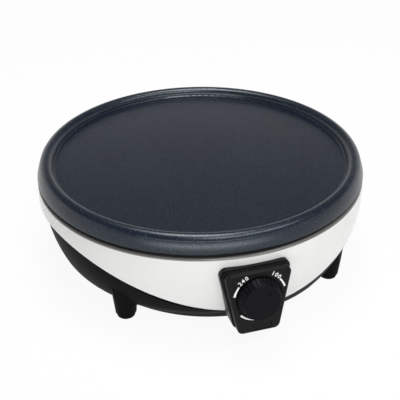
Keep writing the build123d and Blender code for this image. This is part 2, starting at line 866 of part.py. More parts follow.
def make_panel_frame():
    """Moulded frame: stepped outside, a skirt shaped to the shells, a spigot inside."""
    outer = prism(frame_outline(), -skirt_depth, frame_step_height)
    outer = chamfer(outer.faces().sort_by(Axis.Z)[-1].edges(), frame_step_chamfer)
    outer += prism(frame_outline(step_inset), frame_step_height, frame_face_height)
    outer += prism(frame_outline(groove_inset), frame_face_height, face_rear)
    skirt = panel * outer - shells_envelope(seat_gap)
    core = behind_base_wall(spigot_reach)
    spigot = panel * prism(frame_outline(frame_wall), -skirt_depth, frame_step_height) - core
    hollow = prism(frame_outline(frame_wall + spigot_wall), -opening_depth, frame_step_height)
    frame = skirt + spigot + snap_hooks(core) - panel * hollow
    for place in face_screw_places():
        frame -= panel * place * tube(small_screw_radius + fit_gap, 0, 0, face_height)
    frame -= panel * at_knob(tube(bush_radius + bush_clearance, 0, 0, face_height))
    half_length = lamp_glass_length / 2 + fit_gap
    half_width = lamp_glass_radius + fit_gap
    frame -= panel * Pos(lamp_x, lamp_y, 0) * block(
        -half_length, half_length, -half_width, half_width, 0, face_height
    )
    return frame


def snap_hooks(core):
    """Ridges on both sides of the spigot that latch behind the base's wall."""
    band = block(
        -beyond, beyond, -panel_y - skirt_depth, -panel_y + skirt_depth,
        panel_z - hook_drop, panel_z + hook_rise,
    )
    outline = frame_outline(frame_wall - fit_gap - hook_reach)
    ridge = panel * prism(outline, -skirt_depth, frame_step_height)
    return ridge & behind_base_wall(fit_gap) & band - core


def face_screw_places():
    upper_x = face_top_half - face_screw_inset
    upper_y = face_top - face_screw_inset
    lower = Pos(low_screw_inset - face_bottom_half, face_bottom + low_screw_rise, 0)
    return [Pos(-upper_x, upper_y, 0), Pos(upper_x, upper_y, 0), lower]


def make_face_screws():
    """Screws from behind the frame's front wall into the panel face."""
    screw = small_screw(frame_step_height, face_height - screw_end_room)
    return group([panel * place * screw for place in face_screw_places()])


def make_panel_face():
    """Front plate with the knob's round recess and the lamp window."""
    plate = prism(
        trapezoid(face_top_half, face_bottom_half, face_top, face_bottom, face_corner),
        face_rear, face_height,
    )
    plate = chamfer(plate.faces().sort_by(Axis.Z)[-1].edges(), face_chamfer)
    plate -= at_knob(tube(knob_recess_radius, 0, knob_floor, face_height + overcut))
    plate -= at_knob(tube(spindle_radius + spindle_hole_gap, 0, 0, face_height))
    window = Rectangle(lamp_window_length, lamp_window_width)
    plate -= Pos(lamp_x, lamp_y, 0) * prism(window, 0, face_height + overcut)
    for place in face_screw_places():
        plate -= place * tube(
            small_screw_radius + screw_gap, 0, 0, face_height - face_screw_cover
        )
    return panel * plate


def make_lamp_lens():
    window = Rectangle(
        lamp_window_length - 2 * seat_gap, lamp_window_width - 2 * seat_gap
    )
    top = face_height - lamp_lens_sink
    return panel * Pos(lamp_x, lamp_y, 0) * prism(window, top - lamp_lens_thickness, top)


def make_indicator_lamp():
    """Small neon lamp lying across the frame's window."""
    glass = Cylinder(lamp_glass_radius, lamp_glass_length)
    glass = fillet(glass.edges(), lamp_glass_fillet)
    return panel * Pos(lamp_x, lamp_y, lamp_glass_height) * Rotation(0, 90, 0) * glass


# --------------------------------------------------------------------------- knob
def make_knob():
    """Skirted knob with grip ribs, a flat face, a pointer dimple and a D-bored boss."""
    low = knob_floor + fit_gap
    rim = low + knob_skirt_rim
    neck = knob_front - knob_bevel
    roof = knob_front - knob_face_wall
    inner = knob_skirt_radius - knob_wall
    body = turned(
        polygon(
            (0, low), (knob_skirt_radius, low), (knob_skirt_radius, rim),
            (knob_face_radius + knob_neck_flare, neck), (knob_face_radius, knob_front),
            (0, knob_front),
        )
    )
    hollow = turned(
        polygon(
            (0, low - overcut), (inner, low - overcut), (inner, rim),
            (knob_face_radius - knob_wall, roof), (0, roof),
        )
    )
    boss = tube(knob_boss_radius, 0, low, roof + weld)
    bore = Pos(0, 0, low - overcut) * extrude(
        d_section(spindle_radius + running_gap, spindle_flat + running_gap),
        spindle_front + spindle_bore_room - low + overcut,
    )
    body = body - hollow + boss - bore
    for k in range(knob_rib_count):
        body += Rotation(0, 0, 360.0 * k / knob_rib_count) * grip_rib(rim, neck)
    dimple = (
        Rotation(0, 0, pointer_angle)
        * Pos(pointer_circle, 0, knob_front + pointer_lift)
        * Sphere(pointer_radius)
    )
    return panel * at_knob(body - dimple)


def grip_rib(rim, neck):
    """Round rib that leans with the knob's side and stands halfway out of it."""
    foot = (knob_skirt_radius - 0.4 * knob_rib_radius, rim - knob_rib_overrun)
    head = (knob_face_radius + knob_rib_radius, neck + knob_rib_overrun)
    lean = degrees(atan2(foot[0] - head[0], head[1] - foot[1]))
    length = hypot(foot[0] - head[0], head[1] - foot[1])
    middle = Pos((foot[0] + head[0]) / 2, 0, (foot[1] + head[1]) / 2)
    return middle * Rotation(0, -lean, 0) * Cylinder(knob_rib_radius, length)


def make_spindle():
    """D-shaped spindle from the knob's boss back to the adjusting pin."""
    shaft = tube(spindle_radius, 0, spindle_rear, spindle_front)
    flat = prism(
        Circle(2 * spindle_radius) - d_section(2 * spindle_radius, spindle_flat),
        face_rear + overcut, spindle_front + overcut,
    )
    return panel * at_knob(shaft - flat)


def make_spindle_clip():
    """Retaining ring on the spindle in front of the bush."""
    low = bush_front + fit_gap
    ring = tube(
        spindle_radius + retainer_width, spindle_radius + retainer_gap,
        low, low + retainer_thickness,
    )
    return panel * at_knob(ring)


# --------------------------------------------------------------------- thermostat
def make_thermostat_bracket():
    """Bent strip: bolted under the plate, it holds the thermostat behind the panel."""
    through = (bracket_rear - overcut, bracket_front + overcut)
    high = mount_face_z - panel_z + bracket_half_width
    strip = Pos(0, (bracket_low + high) / 2) * Rectangle(
        2 * bracket_half_width, high - bracket_low
    )
    leg = prism(strip, bracket_rear, bracket_front)
    leg -= at_knob(tube(bush_radius + seat_gap, 0, *through))
    leg -= Pos(0, stack_y, 0) * tube(small_screw_radius + seat_gap, 0, *through)
    foot_low = mount_face_z - bracket_sheet
    leg = panel * leg & block(-beyond, beyond, -beyond, 0, 0, mount_face_z)
    foot = block(
        -bracket_half_width, bracket_half_width,
        mount_front_y + mount_screw_inset - bracket_foot_front,
        mount_rear_y - bracket_foot_margin, foot_low, mount_face_z,
    )
    bracket = leg + foot
    for place in mount_screw_places():
        bracket -= place * tube(
            small_screw_radius + fit_gap, 0, foot_low - overcut, mount_face_z + overcut
        )
    return bracket


def make_bracket_screws():
    screw = small_screw(mount_face_z - bracket_sheet, plate_underside_z - screw_end_room)
    return group([place * screw for place in mount_screw_places()])


def hexagon(across):
    return RegularPolygon(across / 2, 6, major_radius=False)


def make_thermostat_bush():
    """Threaded bush with a hexagon head behind the bracket and a guide for the pin."""
    body = tube(bush_radius, 0, bush_rear, bush_front)
    body += Pos(0, 0, bracket_rear - bush_head_thickness) * extrude(
        RegularPolygon(bush_head_radius, 6), bush_head_thickness
    )
    body -= tube(
        spindle_radius + running_gap, 0, bush_rear + bush_end_wall, bush_front + overcut
    )
    body -= tube(pin_radius + running_gap, 0, bush_rear - overcut, bush_front)
    return panel * at_knob(body)


def make_bush_nut():
    nut = Pos(0, 0, bracket_front) * extrude(hexagon(nut_across), nut_thickness)
    nut -= tube(
        bush_radius + screw_gap, 0, bracket_front - overcut,
        bracket_front + nut_thickness + overcut,
    )
    return panel * at_knob(nut)


def make_adjusting_pin():
    """Ceramic pin pushed back by the spindle's end, guided in the bush."""
    front = spindle_rear - fit_gap
    head = tube(pin_head_radius, 0, front - pin_head_thickness, front)
    shank = tube(pin_radius, 0, bush_rear - pin_nose, front)
    return panel * at_knob(head + shank)


def stack_levels():
    """Lower and upper height of each layer of the contact stack."""
    levels, top = [], bracket_rear
    for name, thickness in stack_layers:
        levels.append((name, top - thickness, top))
        top -= thickness
    return levels


def leaf_level(wanted):
    return [(low, high) for name, low, high in stack_levels() if name == wanted][0]


def make_stack_washers():
    """Ceramic washers that hold the leaves apart."""
    rings = []
    for name, low, high in stack_levels():
        if name == "washer":
            rings.append(tube(stack_radius, small_screw_radius + seat_gap, low, high))
    return group([panel * Pos(0, stack_y, 0) * ring for ring in rings])


def make_leaf(name, contact_side=0, tab_side=0):
    """Leaf held in the stack; a contact near its free end, and a tab for its lead."""
    low, high = leaf_level(name)
    strip = Pos(0, (leaf_low + leaf_high) / 2) * Rectangle(leaf_width, leaf_high - leaf_low)
    leaf = prism(strip, low, high)
    if tab_side:
        reach = tab_side * (tab_middle + tab_width / 2)
        leaf += Pos(0, stack_y - tab_width / 2, low) * block(
            min(0, reach), max(0, reach), 0, tab_width, 0, high - low
        )
    if contact_side > 0:
        leaf += Pos(0, contact_y, 0) * tube(contact_radius, 0, high, high + contact_height)
    if contact_side < 0:
        leaf += Pos(0, contact_y, 0) * tube(contact_radius, 0, low - contact_height, low)
    hole = tube(small_screw_radius + seat_gap, 0, low - overcut, high + overcut)
    return panel * (leaf - Pos(0, stack_y, 0) * hole)


def make_stack_rivet():
    """Rivet through the bracket, the washers and the leaves."""
    rear = stack_levels()[-1][1]
    body = tube(small_screw_radius, 0, rear, bracket_front)
    body += tube(small_head_radius, 0, rear - rivet_head_height, rear)
    body += tube(small_head_radius, 0, bracket_front, bracket_front + rivet_head_height)
    return panel * Pos(0, stack_y, 0) * body


# --------------------------------------------------------------------- cord inlet
def gland_axis():
    """Place on the base's back wall, with local Z pointing out of the back."""
    wall_y = side_radius(gland_z, base_inset) - base_shift
    return Location(Plane(origin=(0, wall_y, gland_z), x_dir=(1, 0, 0), z_dir=(0, 1, 0)))


def make_cord_gland():
    """Bush that lines the cord hole, gripped by its flange and the clamp behind it."""
    seat = gland_pad_height
    flange = tube(gland_flange_radius, 0, seat, seat + gland_flange_thickness)
    flange = fillet(flange.edges().sort_by(Axis.Z)[-1], gland_flange_fillet)
    neck = tube(gland_neck_radius, 0, -gland_inner_length, seat)
    bore = tube(
        gland_bore_radius, 0, -gland_inner_length - overcut,
        seat + gland_flange_thickness + overcut,
    )
    return gland_axis() * (flange + neck - bore)


# ------------------------------------------------------- clamp and terminal block
def clamp_places():
    return [Pos(x, clamp_y, 0) for x in (-clamp_half, clamp_half)]


def floor_posts():
    """Posts for the cord clamp and a plinth for the terminal block, on the floor."""
    root_z = floor_z - overcut
    posts = block(
        -clamp_half, clamp_half, clamp_y - saddle_half, clamp_y + saddle_half, root_z,
        clamp_top_z - gland_bore_radius - fit_gap,
    )
    for place in clamp_places():
        posts += place * tube(clamp_post_radius, 0, root_z, clamp_top_z)
    for place in clamp_places():
        posts -= place * tube(
            small_screw_radius + screw_gap, 0, root_z + clamp_hole_floor,
            clamp_top_z + overcut,
        )
    length, width, _ = terminal_size
    posts += block(
        -length / 2, length / 2, terminal_y - width / 2, terminal_y + width / 2,
        root_z, terminal_z,
    )
    return posts


def make_cord_clamp():
    """Bar with an arched middle that holds the cord down behind the gland."""
    length, width, height = clamp_bar
    bar = block(-length / 2, length / 2, -width / 2, width / 2, 0, height)
    arch = Rotation(90, 0, 0) * Cylinder(gland_bore_radius, width + 2 * overcut)
    crown = Rotation(90, 0, 0) * Cylinder(gland_bore_radius + clamp_arch_wall, width)
    bar = bar + crown - arch - block(-length, length, -width, width, -width, 0)
    for x in (-clamp_half, clamp_half):
        bar -= Pos(x, 0, 0) * tube(small_screw_radius + fit_gap, 0, -overcut, height + overcut)
    return Pos(0, clamp_y, clamp_top_z) * bar


def make_clamp_screws():
    top = clamp_top_z + clamp_bar[2]
    screw = Rotation(180, 0, 0) * small_screw(0, top - base_bottom_z - clamp_screw_short)
    return group([place * Pos(0, 0, top) * screw for place in clamp_places()])


def make_terminal_block():
    """Three-way block with a wire hole and a screw well for each way."""
    length, width, height = terminal_size
    body = block(-length / 2, length / 2, -width / 2, width / 2, 0, height)
    body = fillet(body.edges().filter_by(Axis.Z), terminal_fillet)
    wire = Rotation(90, 0, 0) * Cylinder(lead_radius + fit_gap, width + 2 * overcut)
    well = tube(small_screw_radius + screw_gap, 0, height / 2, height + overcut)
    for x in terminal_ways:
        body -= Pos(x, 0, height / 2) * wire
        body -= Pos(x, 0, 0) * well
    return Pos(0, terminal_y, terminal_z) * body


def make_terminal_screws():
    screw = tube(
        small_screw_radius, 0, lead_z + lead_radius + screw_gap,
        terminal_z + terminal_size[2] - terminal_screw_sink,
    )
    return group([Pos(x, terminal_y, 0) * screw for x in terminal_ways])


# ------------------------------------------------------------------- inner wiring
def lead(*points):
    """Insulated lead: straight runs joined by arcs as large as the runs allow."""
    path_points = [Vector(*p) for p in points]
    bends = []
    for before, here, after in zip(path_points, path_points[1:], path_points[2:]):
        run = min((here - before).length, (after - here).length)
        turn = radians((here - before).get_angle(after - here))
        bends.append(lead_bend_share * run / tan(turn / 2))
    path = FilletPolyline(*points, radius=bends)
    return sweep(Plane(path @ 0, z_dir=path % 0) * Circle(lead_radius), path=path)


def bends_between(start, end, side_step, shares):
    """Bends of a lead between two points, from their shares along, aside and up."""
    points = []
    for along, aside, up in shares:
        x = start[0] + (end[0] - start[0]) * along + side_step * aside
        y = start[1] + (end[1] - start[1]) * along
        z = start[2] + (end[2] - start[2]) * up
        points.append((x, y, z))
    return points


def leaf_tab(name, side, behind=0.0):
    """Middle of a leaf's side tab on its rear face, or a point behind it."""
    low, _ = leaf_level(name)
    place = panel * Pos(side * tab_middle, stack_y, low - behind)
    return tuple(place.position)


def terminal_exit(way):
    """Start and end of a lead's straight run out of the terminal block."""
    x = terminal_ways[way]
    return (x, terminal_y, lead_z), (x, terminal_y - lead_straight, lead_z)


def neutral_hole():
    return Pos(neutral_hole_x, fuse_y + neutral_hole_gap, 0)


def earth_hole():
    return Pos(earth_hole_x, earth_hole_y, 0)


def switched_route():
    """Bends of the lead from the thermostat up through the reflector."""
    start = leaf_tab("fixed_leaf", 1, switched_tail)
    end = pin_point(1, lead_tail)
    return bends_between(start, end, switched_side_step, switched_bend_shares)


def make_lead_live():
    """From the terminal block along the floor and up to the moving leaf."""
    seat, straight = terminal_exit(0)
    behind = leaf_tab("moving_leaf", -1, live_tail)
    bends = bends_between(straight, behind, live_side_step, live_bend_shares)
    return lead(seat, straight, *bends, behind, leaf_tab("moving_leaf", -1))


def make_lead_switched():
    """From the fixed leaf through the reflector to one terminal pin."""
    return lead(
        leaf_tab("fixed_leaf", 1), leaf_tab("fixed_leaf", 1, switched_tail),
        *switched_route(), pin_point(1, lead_tail), pin_point(1, seat_gap),
    )


def make_lead_fused():
    """From the thermal fuse over the reflector to the other terminal pin."""
    seat = (-fuse_length / 2, fuse_y, fuse_z)
    straight = (seat[0] - lead_tail - overcut, fuse_y, fuse_z)
    end = pin_point(-1, fused_tail)
    bends = bends_between(straight, end, fused_side_step, fused_bend_shares)
    return lead(seat, straight, *bends, end, pin_point(-1, seat_gap))


def make_lead_neutral():
    """From the terminal block up through the reflector to the thermal fuse."""
    seat, straight = terminal_exit(2)
    hole = neutral_hole().position
    under = (hole.X, hole.Y + neutral_hole_lead_in, reflector_z - neutral_hole_drop)
    side, short = neutral_turn
    over = (hole.X - side, fuse_y + short, reflector_z + neutral_hole_rise)
    fuse_seat = (fuse_length / 2, fuse_y, fuse_z)
    fuse_straight = (fuse_seat[0] + lead_tail + overcut, fuse_y, fuse_z)
    bends = bends_between(straight, under, neutral_side_step, neutral_bend_shares)
    return lead(seat, straight, *bends, under, over, fuse_straight, fuse_seat)


def make_lead_earth():
    """From the terminal block up through the reflector to the plate's earth tag."""
    seat, straight = terminal_exit(1)
    through = (earth_hole_x, earth_hole_y, reflector_z - earth_hole_drop)
    tag_z = earth_z - earth_tag_thickness
    bends = bends_between(straight, through, earth_side_step, earth_bend_shares)
    return lead(
        seat, straight, *bends, through, (0, earth_end_y + lead_tail, tag_z),
        (0, earth_end_y, tag_z),
    )


def make_earth_tag():
    """Ring tag under the earth screw, with the barrel that grips the lead."""
    low = earth_z - earth_tag_thickness
    end = earth_tag_radius + earth_barrel
    middle = end - earth_barrel_length / 2
    tag = tube(earth_tag_radius, screw_radius + fit_gap, low, earth_z)
    neck = block(
        -earth_neck_half, earth_neck_half, screw_radius + earth_neck_half, middle,
        low, earth_z,
    )
    barrel = Pos(0, middle, low) * Rotation(90, 0, 0) * Cylinder(
        earth_barrel_radius, earth_barrel_length
    )
    return earth_place() * (tag + neck + barrel)


def make_earth_screw():
    screw = large_screw(
        earth_z - earth_tag_thickness, plate_underside_z - plate_screw_cover - weld
    )
    return earth_place() * screw


def make_thermal_fuse():
    """Cut-out capsule that lies against the plate's underside."""
    return Pos(0, fuse_y, fuse_z) * Rotation(0, 90, 0) * Cylinder(fuse_radius, fuse_length)


def make_fuse_clip():
    """Spring strap round the fuse, its two feet against the plate."""
    half = fuse_clip_width / 2
    inner = fuse_radius + seat_gap
    outer = inner + fuse_clip_wall
    reach = fuse_radius + fuse_clip_foot
    strap = Rotation(0, 90, 0) * (
        Cylinder(outer, fuse_clip_width) - Cylinder(inner, fuse_clip_width)
    )
    strap &= block(-half, half, -outer, outer, -outer, 0)
    for low, high in ((inner, outer), (-outer, -inner)):
        strap += block(-half, half, low, high, 0, fuse_radius)
    for low, high in ((inner, reach), (-reach, -inner)):
        strap += block(-half, half, low, high, fuse_radius - fuse_clip_wall, fuse_radius)
    return Pos(0, fuse_y, fuse_z) * strap


# ----------------------------------------------------------------------- assembly
def build_parts():
    parts = {
        "cooking_plate": make_cooking_plate(),
        "heating_element": make_heating_element(),
        "element_beads": make_element_beads(),
        "element_clips": make_element_clips(),
        "heat_seal": make_heat_seal(),
        "reflector": make_reflector(),
        "housing_shell": make_housing_shell(),
        "base_shell": make_base_shell(),
        "housing_screws": make_housing_screws(),
        "plate_screws": make_plate_screws(),
        "plate_washers": make_plate_washers(),
        "plate_spacers": make_plate_spacers(),
        "panel_frame": make_panel_frame(),
        "panel_face": make_panel_face(),
        "face_screws": make_face_screws(),
        "lamp_lens": make_lamp_lens(),
        "indicator_lamp": make_indicator_lamp(),
        "knob": make_knob(),
        "spindle": make_spindle(),
        "spindle_clip": make_spindle_clip(),
        "thermostat_bracket": make_thermostat_bracket(),
        "bracket_screws": make_bracket_screws(),
        "thermostat_bush": make_thermostat_bush(),
        "bush_nut": make_bush_nut(),
        "adjusting_pin": make_adjusting_pin(),
        "stack_washers": make_stack_washers(),
        "moving_leaf": make_leaf("moving_leaf", contact_side=-1, tab_side=-1),
        "fixed_leaf": make_leaf("fixed_leaf", contact_side=1, tab_side=1),
        "bimetal_strip": make_leaf("bimetal"),
        "stack_rivet": make_stack_rivet(),
        "cord_gland": make_cord_gland(),
        "cord_clamp": make_cord_clamp(),
        "clamp_screws": make_clamp_screws(),
        "terminal_block": make_terminal_block(),
        "terminal_screws": make_terminal_screws(),
        "thermal_fuse": make_thermal_fuse(),
        "fuse_clip": make_fuse_clip(),
        "lead_live": make_lead_live(),
        "lead_switched": make_lead_switched(),
        "lead_fused": make_lead_fused(),
        "lead_neutral": make_lead_neutral(),
        "lead_earth": make_lead_earth(),
        "earth_tag": make_earth_tag(),
        "earth_screw": make_earth_screw(),
    }
    for name, place in zip(foot_names, foot_places):
        parts["foot_pad_" + name] = make_foot_pad(place)
    return parts


def place_in_frame(parts):
    """Move the origin under the middle of the whole object's box."""
    front_reach = -parts["knob"].bounding_box().min.Y
    middle = (front_reach - widest_radius) / 2
    return {name: Pos(0, middle, 0) * shape for name, shape in parts.items()}


def main():
    os.makedirs("parts", exist_ok=True)
    for name, shape in place_in_frame(build_parts()).items():
        export_step(shape, "parts/" + name + ".step")


main()
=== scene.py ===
import json
from math import atan2, cos, pi, radians, sin, sqrt

import bmesh
import bpy
from bpy.props import FloatProperty, FloatVectorProperty, PointerProperty, StringProperty
from mathutils import Matrix, Vector


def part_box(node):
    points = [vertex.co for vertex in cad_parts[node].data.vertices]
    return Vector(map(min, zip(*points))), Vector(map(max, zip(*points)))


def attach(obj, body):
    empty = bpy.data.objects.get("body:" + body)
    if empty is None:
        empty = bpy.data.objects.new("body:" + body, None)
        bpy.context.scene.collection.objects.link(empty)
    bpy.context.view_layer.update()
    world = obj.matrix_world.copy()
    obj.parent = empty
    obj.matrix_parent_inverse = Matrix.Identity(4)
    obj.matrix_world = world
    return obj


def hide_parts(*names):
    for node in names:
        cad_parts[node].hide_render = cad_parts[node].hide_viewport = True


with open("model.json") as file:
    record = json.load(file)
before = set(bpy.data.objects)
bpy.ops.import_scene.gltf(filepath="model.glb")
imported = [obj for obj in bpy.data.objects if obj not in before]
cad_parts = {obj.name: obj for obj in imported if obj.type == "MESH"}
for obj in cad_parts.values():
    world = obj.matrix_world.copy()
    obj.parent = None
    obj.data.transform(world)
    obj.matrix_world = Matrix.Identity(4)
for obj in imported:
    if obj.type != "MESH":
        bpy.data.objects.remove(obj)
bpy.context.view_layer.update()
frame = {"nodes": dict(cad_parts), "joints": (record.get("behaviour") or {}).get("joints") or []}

bl_info = {
    "name": "Crepe maker finish",
    "version": (1, 0, 0),
    "blender": (4, 5, 0),
    "location": "View3D > Sidebar > Crepe maker",
    "description": "Surfaces, dial print and studio for an electric crepe maker",
    "category": "Object",
}

plate_low, plate_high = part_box("cooking_plate")
shell_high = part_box("housing_shell")[1]
axis_y = (plate_low[1] + plate_high[1]) / 2
axis = Vector((0, axis_y, 0))   # upright, through the plate's middle
MM = 0.001
TINY = 0.01 * MM                # slack where two surfaces or heights meet

knob_joint = [j for j in frame["joints"] if j["name"] == "knob_turn"][0]
dial_centre = Vector(knob_joint["pos_m"])
dial_normal = Vector(knob_joint["axis"])
dial_up = Vector((1, 0, 0)).cross(-dial_normal)


def dial_height(node):
    """How far a node reaches out along the dial's normal."""
    return max((v.co - dial_centre).dot(dial_normal) for v in frame["nodes"][node].data.vertices)


# ------------------------------------------------------------------------ settings
def colour(name, description, default):
    return FloatVectorProperty(
        name=name, description=description, subtype="COLOR", size=3, min=0, max=1,
        default=default,
    )


def length(name, description, default):
    return FloatProperty(name=name, description=description, default=default, unit="LENGTH")


class PlateSettings(bpy.types.PropertyGroup):
    coating: colour("Coating", "Colour of the non-stick coating", (0.005, 0.0085, 0.018))
    flake: colour("Flake", "Colour of the mineral flakes in the coating", (0.11, 0.145, 0.172))
    flake_size: length("Flake size", "Distance between flakes", 1.0 * MM)
    seal: colour("Seal", "Colour of the seal under the rim", (0.006, 0.006, 0.007))


class HousingSettings(bpy.types.PropertyGroup):
    white: colour("White", "Colour of the upper housing", (0.8, 0.8, 0.785))
    # Shoulder is painted shade: a grey band just below the housing's top that stands in for the
    # rim's shadow
    shoulder: colour(
        "Shoulder", "Colour of the housing's edge under the rim", (0.17, 0.168, 0.158)
    )
    black: colour("Black", "Colour of the base", (0.006, 0.0062, 0.0068))
    sole: colour("Sole", "Colour of the foot pads", (0.007, 0.007, 0.0075))
    wall: length("Wall", "Thickness of the upper housing", 2.5 * MM)
    apron_low: length("Apron's low point", "Height of the apron's lowest point", 22.3 * MM)
    apron_rise: length("Apron's rise", "From there up to the level edge", 51.0 * MM)
    apron_turn: FloatProperty(
        name="Apron's turn", description="Place of the lowest point round the housing",
        unit="ROTATION", default=radians(5.5),
    )
    apron_reach: FloatProperty(
        name="Apron's reach", description="From the lowest point round to the level edge",
        unit="ROTATION", default=radians(78.0),
    )
    belly_inset: length("Belly inset", "Belly's side behind the housing's side", 10.5 * MM)
    belly_bottom: length("Belly bottom", "Height of the belly's underside", 5.5 * MM)
    belly_corner: length("Belly corner", "Rounding of the belly's lower edge", 4.0 * MM)


class DialSettings(bpy.types.PropertyGroup):
    panel: colour("Panel", "Colour of the panel and its frame", (0.0032, 0.0034, 0.0042))
    knob: colour("Knob", "Colour of the knob", (0.0034, 0.0036, 0.005))
    ink: colour("Ink", "Colour of the printed marks", (0.85, 0.86, 0.86))
    ink_height: length("Ink height", "How far the print stands proud", 0.05 * MM)
    high_mark: StringProperty(name="High mark", description="Number at the hot end", default="240")
    low_mark: StringProperty(name="Low mark", description="Number at the cool end", default="100")
    figure_size: length("Figure size", "Height of the numbers' type", 5.4 * MM)
    figure_weight: length("Figure weight", "How much bolder the numbers are", 0.12 * MM)


class StageSettings(bpy.types.PropertyGroup):
    distance: length("Distance", "From the plate's rim centre to the camera", 0.7357)
    rise: FloatProperty(
        name="Rise", description="Height of the camera as an angle", unit="ROTATION",
        default=radians(28.203),
    )
    turn: FloatProperty(
        name="Turn", description="Camera's place round the object", unit="ROTATION",
        default=radians(-16.0),
    )
    pitch: FloatProperty(
        name="Pitch", description="How far the camera looks down", unit="ROTATION",
        default=radians(31.94),
    )
    roll: FloatProperty(
        name="Roll", description="Camera's lean", unit="ROTATION", default=radians(-0.547),
    )
    lens: FloatProperty(name="Lens", description="Focal length", unit="CAMERA", default=64.46)
    floor: colour("Floor", "Colour of the floor", (0.86, 0.86, 0.86))
    whiteness: FloatProperty(
        name="Whiteness", description="Share of plain white in the seen floor",
        subtype="FACTOR", min=0, max=1, default=0.93,
    )
    ambient: FloatProperty(name="Ambient", description="Light from all round", default=0.15)


SETTINGS = {
    "crepe_plate": PlateSettings,
    "crepe_housing": HousingSettings,
    "crepe_dial": DialSettings,
    "crepe_stage": StageSettings,
}


# ---------------------------------------------------------------------- node tools
class Graph:
    """Short way to add and join nodes in a material or a group."""

    def __init__(self, tree):
        self.tree = tree

    def add(self, kind, **values):
        node = self.tree.nodes.new("ShaderNode" + kind)
        for name, value in values.items():
            setattr(node, name, value)
        return node

    def link(self, source, target):
        self.tree.links.new(source, target)

    def maths(self, operation, first, second=None, clamp=False):
        node = self.add("Math", operation=operation, use_clamp=clamp)
        for socket, value in zip(node.inputs, (first, second)):
            self.feed(socket, value)
        return node.outputs[0]

    def feed(self, socket, value):
        """Link another socket to this one, or give it a plain value."""
        if value is None:
            return
        if isinstance(value, bpy.types.NodeSocket):
            self.link(value, socket)
        elif hasattr(socket.default_value, "__len__") and len(socket.default_value) == 4:
            socket.default_value = (*value[:3], 1.0)
        else:
            socket.default_value = value

    def mix(self, factor, first, second):
        node = self.add("Mix", data_type="RGBA")
        self.feed(node.inputs["Factor"], factor)
        self.feed(node.inputs[6], first)
        self.feed(node.inputs[7], second)
        return node.outputs[2]

    def span(self, value, low, high, out_low, out_high):
        """Carry the range low to high over to another, held at its ends."""
        node = self.add("MapRange")
        self.feed(node.inputs["Value"], value)
        for name, number in zip(
            ("From Min", "From Max", "To Min", "To Max"), (low, high, out_low, out_high)
        ):
            self.feed(node.inputs[name], number)
        return node.outputs["Result"]

    def noise(self, vector, scale, detail=2.0, roughness=0.5):
        node = self.add("TexNoise")
        self.feed(node.inputs["Vector"], vector)
        self.feed(node.inputs["Scale"], scale)
        node.inputs["Detail"].default_value = detail
        node.inputs["Roughness"].default_value = roughness
        return node.outputs["Fac"]


def new_group(name, inputs, outputs):
    """Group with named sockets; inputs are (name, default), outputs (name, kind)."""
    tree = bpy.data.node_groups.new(name, "ShaderNodeTree")
    for label, default in inputs:
        vector = hasattr(default, "__len__")
        kind = "NodeSocketColor" if vector else "NodeSocketFloat"
        socket = tree.interface.new_socket(label, in_out="INPUT", socket_type=kind)
        socket.default_value = (*default, 1.0) if vector else default
    for label, kind in outputs:
        tree.interface.new_socket(label, in_out="OUTPUT", socket_type="NodeSocket" + kind)
    graph = Graph(tree)
    entry = tree.nodes.new("NodeGroupInput")
    leave = tree.nodes.new("NodeGroupOutput")
    place = graph.add("TexCoord").outputs["Object"]
    return graph, entry.outputs, leave.inputs, place


def shared(name, build):
    """Node group that is built once and then used again."""
    return bpy.data.node_groups.get(name) or build(name)


